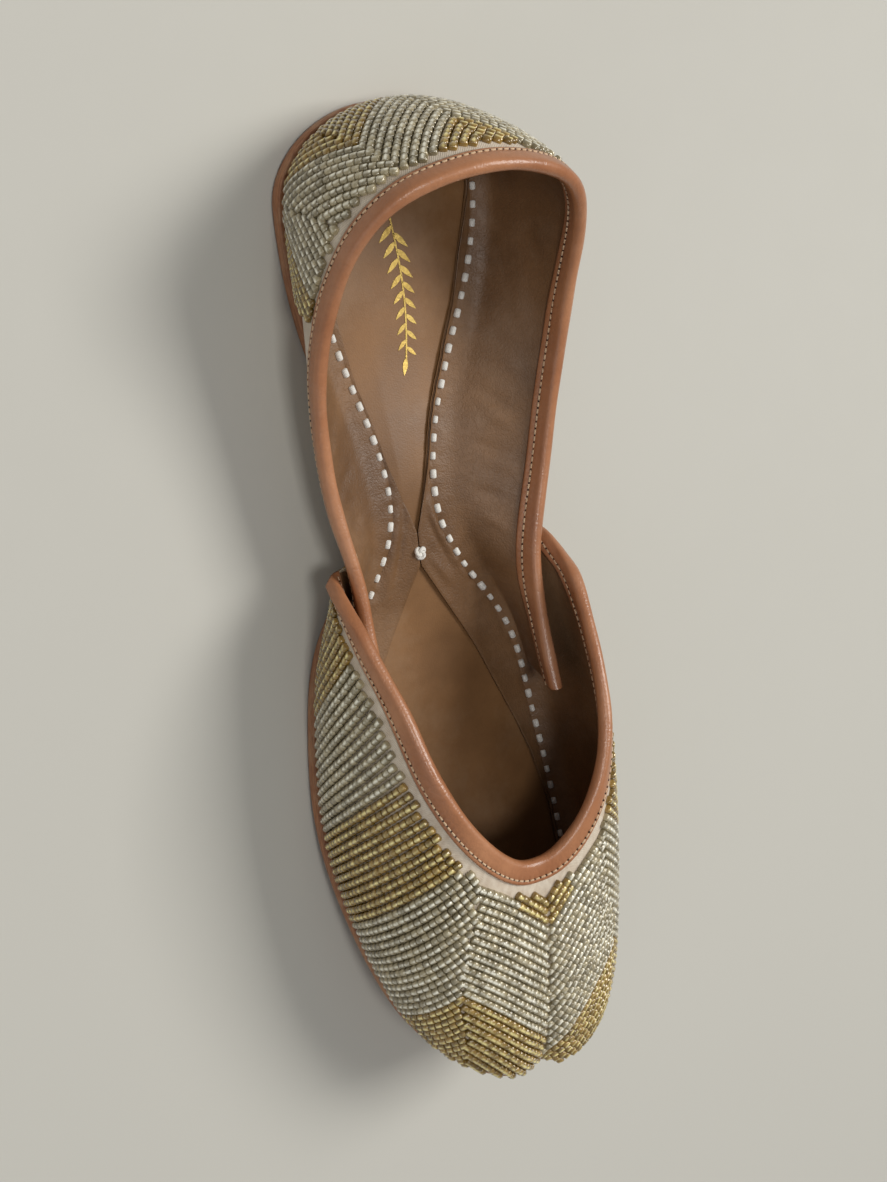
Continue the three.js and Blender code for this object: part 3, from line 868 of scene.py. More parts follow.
# Folds: from, to, and how wide and high each is; a trough is below zero.
FOLDS = table("x0 y0 x1 y1 width height", [
    (96, -9.5, 121, -14.5, 1.3, -0.55), (98, -7.0, 124, -12.0, 1.1, 0.35),
    (101, -5.2, 117, -8.6, 0.8, -0.35), (92, -5.0, 104, -5.8, 1.0, -0.35),
    (88, -3.4, 103, -2.2, 1.4, 0.35), (93, 4.8, 108, 6.0, 1.1, -0.45),
    (96, 1.5, 110, 5.0, 1.0, 0.4), (101, 0.8, 118, 8.6, 0.8, -0.35),
    (103, 3.4, 121, 13.4, 1.0, 0.4), (99, 5.6, 119, 15.6, 1.0, -0.5),
    (108, 8.0, 127, 17.5, 0.9, -0.4), (76, 8.6, 92, 5.4, 1.0, -0.3),
    (80, -10.6, 95, -8.2, 1.0, -0.3), (64, -14.0, 80, -11.0, 0.9, 0.25),
    (60, 11.8, 72, 8.8, 0.9, 0.25), (112, 1.6, 121, 8.0, 1.2, 0.35),
    (127, 20.0, 141, 25.0, 1.0, -0.3), (128, -19.0, 142, -25.0, 1.0, -0.3),
])

# Slack in the lining's sides: run from the heel's centre, share of the wall's height, then sizes.
SIDE_HEIGHT = 26.0
SIDE_CREASES = table("run t length tilt width height", [
    (62, 0.35, 16, 25, 2.2, -0.5), (70, 0.55, 18, 35, 2.4, 0.45), (78, 0.40, 15, 50, 1.8, -0.5),
    (84, 0.60, 16, 40, 2.0, 0.4), (92, 0.35, 14, 60, 1.8, -0.55), (98, 0.50, 14, 48, 1.8, 0.4),
    (106, 0.40, 13, 62, 1.6, -0.5), (112, 0.62, 13, 52, 1.8, 0.35), (118, 0.38, 12, 66, 1.5, -0.4),
    (46, 0.50, 16, 15, 2.4, -0.35), (34, 0.40, 18, 8, 2.6, 0.3), (126, 0.45, 12, 58, 1.6, 0.3),
])

STITCH_PITCH = 4.5
STITCH_INSET = 5.6
LANDING_INSET = STITCH_INSET + 0.7         # where the turned lining lands on the insole
CHANNEL_PITCH = 1.1
STITCH_DENT = (0.5, 1.6)        # depth and width of the dent under a stitch
CHANNEL_DENT = (0.32, 0.9)      # and of the channel along them


def margin_edge(run):
    """Cut edge of the turned-in margin, in plan, for each run."""
    base = outline.at(run, MARGIN_REACH)[0]
    middle = lean(base[..., 0])
    open_half = np.interp(base[..., 0], MARGIN_TABLE["x"], MARGIN_TABLE["half"])
    offset = base[..., 1] - middle
    base[..., 1] = middle + np.sign(offset) * np.minimum(np.abs(offset), open_half)
    return base


def fold_lift(x, y):
    """Height of the listed folds at a place in plan."""
    lift = np.zeros_like(x)
    for x0, y0, x1, y1, width, height in zip(*FOLDS.values()):
        dx, dy = x1 - x0, y1 - y0
        length = math.hypot(dx, dy)
        along = ((x - x0) * dx + (y - y0) * dy) / length**2
        across = ((x - x0) * dy - (y - y0) * dx) / length
        reach = np.clip(1 - (2 * along - 1)**2, 0, 1)**0.7
        lift += height * reach * np.exp(-(across / width)**2)
    return lift


def side_lift(run, t):
    """Height of the lining's side creases on a wall, alike on both sides."""
    lift = np.zeros_like(run)
    for centre, level, length, tilt, width, height in zip(*SIDE_CREASES.values()):
        along_run, up = np.abs(run) - centre, (t - level) * SIDE_HEIGHT
        angle = math.radians(tilt)
        along = along_run * math.cos(angle) + up * math.sin(angle)
        across = up * math.cos(angle) - along_run * math.sin(angle)
        lift += height * np.exp(-(along / length * 2)**2 - (across / width)**2)
    return lift


def stitch_points(pitch=STITCH_PITCH):
    """Plan of the cotton stitches round the feather line, evenly spaced."""
    run = np.linspace(-outline.total, outline.total, 2400, endpoint=False)
    line = outline.at(run, STITCH_INSET)[0]
    length = arc_lengths(line)
    count = int(length[-1] / pitch)
    marks = (np.arange(count) + 0.5) * length[-1] / count
    return np.stack([np.interp(marks, length, line[:, 0]), np.interp(marks, length, line[:, 1])], -1)


STITCHES = stitch_points()
CHANNEL = stitch_points(CHANNEL_PITCH)
MARGIN_TOP = INSOLE_TOP + LINING_THICK + MARGIN_AIR


def pinch(x, y, marks, depth, width):
    """Dents pulled into the margin at the marks."""
    dent = np.zeros_like(x)
    for sx, sy in marks:
        near = (np.abs(x - sx) < 3 * width) & (np.abs(y - sy) < 3 * width)
        if near.any():
            dip = depth * np.exp(-((x[near] - sx)**2 + (y[near] - sy)**2) / width**2)
            dent[near] = np.minimum(dent[near], -dip)
    return dent


def margin_height(x, y):
    """Height of the margin's upper face above the bed."""
    dents = pinch(x, y, STITCHES, *STITCH_DENT) + pinch(x, y, CHANNEL, *CHANNEL_DENT)
    return MARGIN_TOP + fold_lift(x, y) * FOLD_STRENGTH + dents


def lining_wall(wall, run):
    """Lining down the inside of a wall; the quarter's stands off it and creases."""
    grid_run, grid_t = np.meshgrid(run, np.linspace(LINING_TOP, LINING_TURN, WALL_ROWS), indexing="ij")
    sheet = wall.off(grid_run, grid_t, -WALL)
    if wall is quarter:
        full = bump(grid_t, *FULLNESS_AT)
        slack = LINING_FULLNESS + side_lift(grid_run, grid_t) * full
        sheet = sheet - wall.normal(grid_run, grid_t) * slack[..., None] * full[..., None]
    return sheet


def lining_turn(run, wall_part, landing):
    """Rounded turn from the wall's foot to where the margin lands on the insole."""
    start = wall_part[:, -1]
    heading = wall_part[:, -1] - wall_part[:, -3]
    plan = outline.at(run, TURN_INSET)[0]
    corner = lay(plan[:, 0], plan[:, 1], MARGIN_TOP + TURN_HEIGHT)
    reach = np.linalg.norm(corner - start, axis=-1, keepdims=True)
    s = np.linspace(0, 1, TURN_ROWS + 2)[1:-1][None, :, None]
    a, b, c, d = (p[:, None] for p in (start, start + unit(heading) * TURN_PULL * reach, corner, landing))
    return (1 - s)**3 * a + 3 * (1 - s)**2 * s * b + 3 * (1 - s) * s**2 * c + s**3 * d


def lining_margin(run, landing_plan, drop):
    """Margin laid inwards on the insole to its cut edge."""
    share = np.linspace(0, 1, MARGIN_ROWS)[None, :, None]
    plan = landing_plan[:, None] * (1 - share) + margin_edge(run)[:, None] * share
    height = margin_height(plan[..., 0], plan[..., 1]) - drop
    left_side = 0.5 + 0.5 * np.tanh((plan[..., 1] - lean(plan[..., 0])) / EDGE_FADE)
    height = height + EDGE_LIFT * share[..., 0]**4 * left_side
    height[:, -2:] -= EDGE_DROP
    return lay(plan[..., 0], plan[..., 1], height)


def lining_sheet(name, wall, from_run, to_run, columns, margin_from=None):
    """Lining: down the inside of a wall, turned at the feather line and laid inwards.

    A margin starts at a station, if one is given: behind it only the turn is kept."""
    run = np.linspace(from_run, to_run, columns + 1)
    drop = 0.0 if margin_from is None else LAP
    landing_plan = outline.at(run, LANDING_INSET)[0]
    x, y = landing_plan.T
    landing = lay(x, y, margin_height(x, y))
    wall_part = lining_wall(wall, run)
    sheet = np.concatenate([
        wall_part, lining_turn(run, wall_part, landing), lining_margin(run, landing_plan, drop)], 1)
    across = arc_lengths(sheet, 1)
    uv = np.stack([run[:, None] + 0 * across, across], -1)
    rows = sheet.shape[1]
    faces = grid_faces(columns + 1, rows)
    if margin_from is not None:
        station = outline.at(run)[0][:, 0]
        faces = [face for face in faces
                 if face[0] % rows < WALL_ROWS + LAP_ROWS or station[face[0] // rows] > margin_from]
    piece = add_mesh(name, sheet.reshape(-1, 3), faces, LINING_LEATHER, uv.reshape(-1, 2))
    thicken = piece.modifiers.new("thickness", "SOLIDIFY")
    thicken.thickness = LINING_THICK * MM
    thicken.offset = -1
    settle(piece)
    finish_piece(piece, ["upper"])


# ---- folded leather tapes

TAPE_THICK = 0.66
TAPE_NEAR = 1.05
TAPE_OUTER = 4.6
TAPE_INNER = 5.4
FOLD_HEIGHT = 0.9               # the fold's height over the wall's edge, as a share of its half width
SEAM_DEPTH = 3.3
SEAM_PITCH = 1.75
GROOVE = 0.35                   # half width of the groove that the seam pulls in
FREE_EDGE = np.array([0.2, 0.6])           # rounding of a leg's free edge, from its end
LEG_DEPTHS = np.array([SEAM_DEPTH + GROOVE, SEAM_DEPTH, SEAM_DEPTH - GROOVE, 2.4, 1.6, 0.8])
LEG_SWELL = np.array([-0.28, -0.12, -0.2, -0.3, -0.18, -0.02, 0.0, 0.0])   # from the free edge up
LEG_TOP = 2.0                   # where the inside of a leg meets the fold
TAPE_REACH = 0.25               # no tape lies below this share of a wall's height
SEAM_BITE = 0.2                 # how deep the seam's stitches sit in the tape
PUCKER = (0.12, 0.8)            # height of the puckers between stitches, and how far from the seam
WANDER = ((0.06, 7.3, 0.0), (0.05, 2.9, 1.3))      # waviness along the tape: height, length, start


def tape_section(steps=9):
    """Section round the tape, from its outer free edge over the fold to its inner free edge.

    Each row is [distance out of the wall's middle, depth below the wall's edge]."""
    far = TAPE_NEAR + TAPE_THICK
    arc = np.linspace(0, math.pi, steps)
    outer_leg = np.concatenate([TAPE_OUTER - FREE_EDGE, LEG_DEPTHS])
    inner_leg = np.concatenate([TAPE_INNER - FREE_EDGE, LEG_DEPTHS])
    outer = np.concatenate([
        np.stack([far + LEG_SWELL, outer_leg], -1),
        np.stack([far * np.cos(arc), -far * FOLD_HEIGHT * np.sin(arc)], -1),
        np.stack([-far - LEG_SWELL[::-1], inner_leg[::-1]], -1),
    ])
    inner = np.concatenate([
        [[-TAPE_NEAR, TAPE_INNER], [-TAPE_NEAR, LEG_TOP]],
        np.stack([TAPE_NEAR * np.cos(arc[::-1]), -TAPE_NEAR * np.sin(arc)], -1),
        [[TAPE_NEAR, LEG_TOP], [TAPE_NEAR, TAPE_OUTER]],
    ])
    return outer, inner


def down_the_wall(wall, run, depths):
    """The wall's t at each depth below its top edge, for each run."""
    t = np.linspace(1, TAPE_REACH, 60)
    line = wall.face(run[:, None], t[None, :])
    length = arc_lengths(line, 1)
    return np.stack([np.interp(np.maximum(depths, 0), row, t) for row in length])


def tape_place(wall, run, section):
    """Points of the tape's section at each run."""
    out, depth = section[:, 0], section[:, 1]
    t = down_the_wall(wall, run, depth)
    grid_run = run[:, None] + 0 * t
    middle = out - WALL / 2
    on_wall = wall.face(grid_run, t) + wall.normal(grid_run, t) * middle[:, None]
    rise = unit(wall.face(run, 1.0) - wall.face(run, 0.97))
    return on_wall + rise[:, None] * np.maximum(-depth, 0)[None, :, None]


def make_tape(name, wall, from_run, to_run, columns, node):
    """Leather folded over a wall's edge, drawn in along its seam."""
    run = np.linspace(from_run, to_run, columns + 1)
    outer, inner = tape_section()
    outside = tape_place(wall, run, outer)
    inside = tape_place(wall, run, inner)
    length = arc_lengths(outside[:, 4])
    middle = tape_place(wall, run, outer * [0, 1])
    beside_seam = np.exp(-((outer[:, 1] - SEAM_DEPTH) / PUCKER[1])**2)
    puckers = PUCKER[0] * np.cos(2 * math.pi * length / SEAM_PITCH)[:, None] * beside_seam
    wander = sum(height * np.sin(length / wave + start) for height, wave, start in WANDER)
    outside = outside + unit(outside - middle) * (puckers + wander[:, None])[..., None]
    rings = np.concatenate([outside, inside], 1)
    across = arc_lengths(rings, 1)
    uv = np.stack([length[:, None] + 0 * across, across], -1)
    piece = closed_strip(name, rings, TAPE_LEATHER, uv)
    finish_piece(piece, [node])


# ---- studs: beads and stitches set on points

def studs_tree():
    """Short rounded tubes set on points: each lies along its point's "along" and faces its "out"."""
    tree = bpy.data.node_groups.new("studs", "GeometryNodeTree")
    face = tree.interface
    face.new_socket(name="Places", in_out="INPUT", socket_type="NodeSocketGeometry")
    for label, kind, value in [
            ("Length", "NodeSocketFloat", 0.0017), ("Width", "NodeSocketFloat", 0.0014),
            ("End width", "NodeSocketFloat", 0.72), ("Size drift", "NodeSocketFloat", 0.06),
            ("Sides", "NodeSocketInt", 7), ("Seed", "NodeSocketInt", 1)]:
        face.new_socket(name=label, in_out="INPUT", socket_type=kind).default_value = value
    face.new_socket(name="Finish", in_out="INPUT", socket_type="NodeSocketMaterial")
    face.new_socket(name="Studs", in_out="OUTPUT", socket_type="NodeSocketGeometry")
    taken, given = tree.nodes.new("NodeGroupInput").outputs, tree.nodes.new("NodeGroupOutput").inputs

    stud = add_node(tree, "GeometryNodeMeshCylinder", {
        "Vertices": taken["Sides"], "Side Segments": 3, "Depth": taken["Length"],
        "Radius": math_node(tree, "MULTIPLY", taken["Width"], 0.5)})
    spot = tree.nodes.new("GeometryNodeInputPosition").outputs[0]
    place = add_node(tree, "ShaderNodeSeparateXYZ", {"Vector": spot})
    share = math_node(tree, "ABSOLUTE", math_node(tree, "DIVIDE", place.outputs["Z"], taken["Length"]))
    at_end = math_node(tree, "GREATER_THAN", share, 0.4)
    narrow = remap(tree, at_end, 0.0, 1.0, 1.0, taken["End width"])
    reach = remap(tree, at_end, 0.0, 1.0, 2.3, 1.0)
    rounded = add_node(tree, "ShaderNodeCombineXYZ", {
        "X": math_node(tree, "MULTIPLY", place.outputs["X"], narrow),
        "Y": math_node(tree, "MULTIPLY", place.outputs["Y"], narrow),
        "Z": math_node(tree, "MULTIPLY", place.outputs["Z"], reach)})
    shaped = add_node(tree, "GeometryNodeSetPosition", {
        "Geometry": stud.outputs["Mesh"], "Position": rounded.outputs[0]})
    # Painted highlight: a band down each stud's outward face, away from its ends, stored for the bead
    # finish to paint pale.
    half_width = math_node(tree, "MULTIPLY", taken["Width"], 0.5)
    facing = math_node(tree, "DIVIDE", place.outputs["X"], half_width)
    middle = math_node(tree, "SUBTRACT", 1.0, at_end)
    painted_gleam = math_node(tree, "MULTIPLY", remap(tree, facing, 0.7, 1.0), middle)
    painted_highlight_stored = add_node(tree, "GeometryNodeStoreNamedAttribute", {
        "Geometry": shaped.outputs[0], "Name": "painted_gleam", "Value": painted_gleam}, domain="POINT")
    smooth = add_node(tree, "GeometryNodeSetShadeSmooth", {"Geometry": painted_highlight_stored.outputs[0]})

    along = add_node(tree, "GeometryNodeInputNamedAttribute", {"Name": "along"}, data_type="FLOAT_VECTOR")
    out = add_node(tree, "GeometryNodeInputNamedAttribute", {"Name": "out"}, data_type="FLOAT_VECTOR")
    lying = add_node(tree, "FunctionNodeAlignRotationToVector", {"Vector": along.outputs[0]}, axis="Z")
    turned = add_node(tree, "FunctionNodeAlignRotationToVector", {
        "Rotation": lying.outputs[0], "Vector": out.outputs[0]}, axis="X", pivot_axis="Z")
    small = math_node(tree, "SUBTRACT", 1.0, taken["Size drift"])
    large = math_node(tree, "ADD", 1.0, taken["Size drift"])
    size = add_node(tree, "FunctionNodeRandomValue", {2: small, 3: large, "Seed": taken["Seed"]})
    set_on = add_node(tree, "GeometryNodeInstanceOnPoints", {
        "Points": taken["Places"], "Instance": smooth.outputs[0], "Rotation": turned.outputs[0],
        "Scale": size.outputs[1]})
    tint = add_node(tree, "FunctionNodeRandomValue", {
        2: 0.0, 3: 1.0, "Seed": math_node(tree, "ADD", taken["Seed"], 7.0)})
    tinted = add_node(tree, "GeometryNodeStoreNamedAttribute", {
        "Geometry": set_on.outputs[0], "Name": "tint", "Value": tint.outputs[1]}, domain="INSTANCE")
    real = add_node(tree, "GeometryNodeRealizeInstances", {"Geometry": tinted.outputs[0]})
    finished = add_node(tree, "GeometryNodeSetMaterial", {
        "Geometry": real.outputs[0], "Material": taken["Finish"]})
    tree.links.new(finished.outputs[0], given["Studs"])
    return tree


STUDS = studs_tree()


def set_studs(name, places, along, out, material, slot, **sizes):
    """Studs at places in the shoe's millimetres, made one plain mesh."""
    mesh = bpy.data.meshes.new(name + "_places")
    mesh.from_pydata(in_frame(places).tolist(), [], [])
    for label, vectors in (("along", along), ("out", out)):
        mesh.attributes.new(label, "FLOAT_VECTOR", "POINT").data.foreach_set(
            "vector", unit(vectors).astype(np.float32).ravel())
    holder = bpy.data.objects.new(name + "_places", mesh)
    bpy.context.scene.collection.objects.link(holder)
    maker = holder.modifiers.new("studs", "NODES")
    maker.node_group = STUDS
    sockets = {item.name: item.identifier for item in STUDS.interface.items_tree
               if item.in_out == "INPUT"}
    for label, value in sizes.items():
        maker[sockets[label_of(label)]] = value
    maker[sockets["Finish"]] = material
    evaluated = holder.evaluated_get(bpy.context.evaluated_depsgraph_get())
    made = bpy.data.meshes.new_from_object(evaluated)
    bpy.data.objects.remove(holder)
    made.name = name
    finish_piece(add_object(name, made, material))


# ---- beadwork

ROW_PITCH = 2.12
BEAD_LENGTH = 2.02
BEAD_WIDTH = 2.16
BEAD_STEP = 2.14
BEAD_SLIP = 0.03
BEAD_SINK = 0.72
VAMP_STRIPS = (TAPE_OUTER + 2.9, 2.6)      # left bare below the top edge, and above the sole
HEEL_STRIPS = (TAPE_OUTER + 2.2, 2.0)
CENTRE = 3.8                    # the vamp's middle line on its laid-out cloth
FOLD_START = 178.0              # the vamp's zigzag is plain behind this station
NEARBY = 0.4

# Where the vamp's rows fold, out from its middle line.
VAMP_FOLD = table("x out", [
    (176, 20), (182, 22), (191, 24), (200, 27), (205, 30), (214, 31.4), (224, 30.5), (236, 29), (252, 26),
])

# Gold bands, by how far along the shoe a row starts.
WING_GOLD_END = 106.2
SIDE_GOLD = (136.8, 162.4)
TOE_GOLD = 196.2
THROAT_GOLD = (202.6, 9.5)      # the small triangle at the throat: its front, and its half width


class Zone(NamedTuple):
    """Rows of one slope between two folds; a row's value says how far along the shoe it starts."""
    side: int
    slope: float
    inside: Callable
    start: tuple
    gold: Callable

    def value(self, out, ahead):
        return ahead - self.slope * (out - self.start[0]) + self.start[1]


def vamp_fold(ahead):
    return np.where(ahead < FOLD_START, 0.0, np.interp(ahead, VAMP_FOLD["x"], VAMP_FOLD["out"]))


def outer_gold(_, value):
    return value < WING_GOLD_END or SIDE_GOLD[0] < value < SIDE_GOLD[1] or value > TOE_GOLD


def centre_gold(toe_value):
    return lambda out, value: value > toe_value or (value < THROAT_GOLD[0] and out < THROAT_GOLD[1])


def heel_gold(low, high):
    return lambda _, value: value < low or value > high


VAMP_ZONES = [
    Zone(side, slope, inside, (0.0, 0.0), gold)
    for side, inner_slope, toe_value in ((-1, -0.80, 238.3), (1, -0.95, 243.0))
    for slope, inside, gold in (
        (inner_slope, lambda out, ahead: out < vamp_fold(ahead), centre_gold(toe_value)),
        (0.54, lambda out, ahead: out >= vamp_fold(ahead), outer_gold))
]
HEEL_FOLDS = (21.0, 39.0)
HEEL_END = 58.0
HEEL_BEADS_TO = 66.0            # the cloth is charted up to this station
ALL_SILVER = 99.0
HEEL_ZONES = [
    Zone(side, slope, inside, start, gold)
    for side in (-1, 1)
    for slope, inside, start, gold in (
        (1.0, lambda out, ahead: out < HEEL_FOLDS[0], (0.0, 0.0), heel_gold(3.5, 32.5)),
        (-1.7, lambda out, ahead: (out >= HEEL_FOLDS[0]) & (out < HEEL_FOLDS[1]),
         (HEEL_FOLDS[0], -21.0), heel_gold(3.5, ALL_SILVER)),
        (1.6, lambda out, ahead: (out >= HEEL_FOLDS[1]) & (out < HEEL_END + 0.2 * ahead),
         (HEEL_FOLDS[1], 9.6), heel_gold(7.2, ALL_SILVER)))
]


class Beadwork:
    """Beads in rows over a laid-out pattern, carried back to the wall."""

    def __init__(self, pattern, upright, strips):
        self.pattern, self.upright, self.strips = pattern, upright, strips
        columns, rows = pattern.run.shape
        flat = np.concatenate([pattern.flat.reshape(-1, 2), np.zeros((columns * rows, 1))], 1)
        quads = grid_faces(columns, rows)
        self.corners = np.array([tri for a, b, c, d in quads for tri in ((a, b, c), (a, c, d))])
        self.flat = flat
        self.tree = BVHTree.FromPolygons([Vector(p) for p in flat], self.corners.tolist())
        depth = pattern.depths()
        self.known = np.stack([pattern.run, pattern.t, depth, depth[:, :1] - depth], -1).reshape(-1, 4)

    def chart(self, side, out, ahead):
        """Place on the laid-out cloth from how far out and ahead it is."""
        return (side * out, ahead) if self.upright else (ahead, CENTRE + side * out)

    def find(self, x, y):
        """Run, t, depth below the edge and height above the sole at a place on the laid-out cloth."""
        _, _, index, _ = self.tree.ray_cast(Vector((x, y, 5.0)), Vector((0, 0, -1)))
        if index is None:
            _, _, index, _ = self.tree.ray_cast(Vector((x, y, -5.0)), Vector((0, 0, 1)))
        if index is None:
            return None
        corner = self.corners[index]
        a, b, c = self.flat[corner, :2]
        shares = np.linalg.solve(np.array([b - a, c - a]).T, np.array([x, y]) - a)
        return self.known[corner].T @ np.array([1 - shares.sum(), *shares])

    def rows(self, zone, outs, aheads, chance):
        """Bead places (out, ahead) in the zone's rows."""
        along = np.array([1, zone.slope]) / math.hypot(1, zone.slope)
        across = np.array([-along[1], along[0]])
        corners = np.array([(o, a) for o in outs for a in aheads])
        first, last = (corners @ across).min(), (corners @ across).max()
        for row in np.arange(math.floor(first / ROW_PITCH), math.ceil(last / ROW_PITCH)):
            slip = chance.uniform(0, BEAD_STEP)
            steps = np.arange((corners @ along).min() + slip, (corners @ along).max(), BEAD_STEP)
            steps = steps + chance.normal(0, BEAD_SLIP, len(steps))
            spots = row * ROW_PITCH * across + steps[:, None] * along
            fits = zone.inside(spots[:, 0], spots[:, 1]) & (spots[:, 0] > 0.3)
            fits &= (spots[:, 0] < outs[1]) & (spots[:, 1] > aheads[0]) & (spots[:, 1] < aheads[1])
            for out, ahead in spots[fits]:
                yield out, ahead, along

    def lay(self, name, zones, outs, aheads, seed):
        """Set gold and silver beads over the zones."""
        chance = np.random.default_rng(seed)
        found = {"gold": [], "silver": []}
        for zone in zones:
            for out, ahead, along in self.rows(zone, outs, aheads, chance):
                here = self.find(*self.chart(zone.side, out, ahead))
                if here is None or here[2] < self.strips[0] or here[3] < self.strips[1]:
                    continue
                near = self.find(*self.chart(
                    zone.side, out + NEARBY * along[0], ahead + NEARBY * along[1]))
                if near is None:
                    continue
                metal = "gold" if zone.gold(out, zone.value(out, ahead)) else "silver"
                found[metal].append((here[0], here[1], near[0], near[1]))
        wall = self.pattern.wall
        for metal, material in (("gold", GOLD_BEADS), ("silver", SILVER_BEADS)):
            run, t, next_run, next_t = np.array(found[metal]).T
            out = wall.normal(run, t)
            places = wall.face(run, t) + out * (BEAD_WIDTH / 2 - BEAD_SINK)
            along = wall.face(next_run, next_t) - wall.face(run, t)
            set_studs(f"{name}_{metal}", places, along, out, material, "beads_" + metal,
                      length=BEAD_LENGTH * MM, width=BEAD_WIDTH * MM, end_width=0.66, size_drift=0.04,
                      sides=8, seed=seed)


def make_beadwork():
    front = Pattern(vamp, VAMP_START + BEADS_SHORT, VAMP_END - BEADS_SHORT, 160, 18, False)
    Beadwork(front, False, VAMP_STRIPS).lay("vamp_beads", VAMP_ZONES, (0, 80), (95, 262), 11)
    heel_run = outline.run_at(HEEL_BEADS_TO)
    back = Pattern(quarter, -heel_run, heel_run, 120, 18, True)
    Beadwork(back, True, HEEL_STRIPS).lay("heel_beads", HEEL_ZONES, (0, 75), (0, 52), 23)


# ---- seams

HOLE_SINK = 0.08
STITCH_STAND = 0.62             # a cotton stitch's middle line over the margin
KNOT_X = 110.5
KNOT_STAND = 0.45
KNOT_SIZE = 1.35
KNOT_CORD = 0.52


def tape_seam(name, wall, from_run, to_run, seed):
    """Machine stitches along both faces of a tape, with dark studs between them as painted shade in the
    needle's holes.
    """
    run = np.linspace(from_run, to_run, 1600)
    far = TAPE_NEAR + TAPE_THICK - SEAM_BITE
    stitches, holes = ([], [], []), ([], [], [])
    for face_side in (1, -1):
        line = tape_place(wall, run, np.array([[face_side * far, SEAM_DEPTH], [0, SEAM_DEPTH]]))
        ways = line[:, 0], np.gradient(line[:, 0], axis=0), line[:, 0] - line[:, 1]
        length = arc_lengths(line[:, 0])
        marks = np.arange(SEAM_PITCH / 2, length[-1], SEAM_PITCH)
        for found, spots in ((stitches, marks), (holes, marks[:-1] + SEAM_PITCH / 2)):
            for gather, way in zip(found, ways):
                gather.append(np.stack([np.interp(spots, length, way[:, k]) for k in range(3)], -1))
    # Painted shade: dark studs sunk in the needle holes.
    places, along, out = [np.concatenate(part) for part in holes]
    set_studs(name + "_hole_shade_studs", places - HOLE_SINK * unit(out), along, out, PAINTED_HOLE_SHADE, "tape_leather",
              length=0.5 * MM, width=0.5 * MM, end_width=0.6, size_drift=0.1, sides=6, seed=seed)
    places, along, out = [np.concatenate(part) for part in stitches]
    set_studs(name, places, along, out, TAPE_THREAD, "thread", length=1.3 * MM, width=0.52 * MM,
              end_width=0.5, size_drift=0.08, sides=6, seed=seed)


def make_cotton_stitches():
    """Heavy cotton stitches that hold the margins down along the feather line."""
    x, y = STITCHES.T
    places = lay(x, y, margin_height(x, y) + STITCH_STAND)
    along = np.roll(places, -1, 0) - np.roll(places, 1, 0)
    out = np.zeros_like(places) + [0, 0, 1]
    set_studs("cotton_stitches", places, along, out, COTTON, "thread", length=2.15 * MM,
              width=1.6 * MM, end_width=0.66, size_drift=0.14, sides=9, seed=5)


def tube(points, radius, sides=8):
    """Closed tube round a closed loop of points."""
    along = unit(np.roll(points, -1, 0) - np.roll(points, 1, 0))
    side = unit(np.cross(along, [0.0, 0.0, 1.0]))
    up = np.cross(side, along)
    angle = np.linspace(0, 2 * math.pi, sides, endpoint=False)
    ring = np.cos(angle)[:, None, None] * side + np.sin(angle)[:, None, None] * up
    skin = points + radius * ring
    count = len(points)
    faces = []
    for i in range(sides):
        for j in range(count):
            k, m = (i + 1) % sides, (j + 1) % count
            faces.append((i * count + m, k * count + m, k * count + j, i * count + j))
    return skin.reshape(-1, 3), faces


def make_knot():
    """Cotton knot where the two margins meet."""
    angle = np.linspace(0, 2 * math.pi, 72, endpoint=False)
    swell = 0.62 + 0.34 * np.cos(3 * angle)
    x = np.array(KNOT_X)
    centre = lay(x, lean(x), MARGIN_TOP + KNOT_STAND)
    loop = centre + KNOT_SIZE * np.stack([swell * np.cos(2 * angle) * 1.1, swell * np.sin(2 * angle),
                                          0.34 * np.sin(3 * angle)], -1)
    points, faces = tube(loop, KNOT_CORD)
    finish_piece(add_mesh("cotton_knot", points, faces, COTTON))


# ---- foil ornament

STEM_ENDS = (26.0, 62.0)
STEM_SIDE = -1.0
STEM_BEND = 2.6
STEM_TURN = 2.4
STEM_HALF = 0.22
LEAF_PAIRS = 8
LEAF_SIZE = (5.6, 1.5)          # length and width of the first pair's leaves
LEAF_TAPER = (0.3, 0.06)        # how much smaller each next pair is
LEAF_ANGLE = 0.8
TIP_LEAF = (61.5, -0.25, 4.6, 1.4)         # place, heading, length and width of the last leaf
FOIL_LIFT = 0.05
FOIL_THICK = 0.06


def leaf(x, y, heading, length, width, steps=9):
    """Outline of a leaf in plan, as rows of left and right points."""
    share = np.linspace(0, 1, steps)
    half = width / 2 * np.sin(math.pi * share**0.8)
    forward = np.array([math.cos(heading), math.sin(heading)])
    left = np.array([-forward[1], forward[0]])
    middle = np.array([x, y]) + share[:, None] * length * forward
    return np.stack([middle + half[:, None] * left, middle - half[:, None] * left], 1)


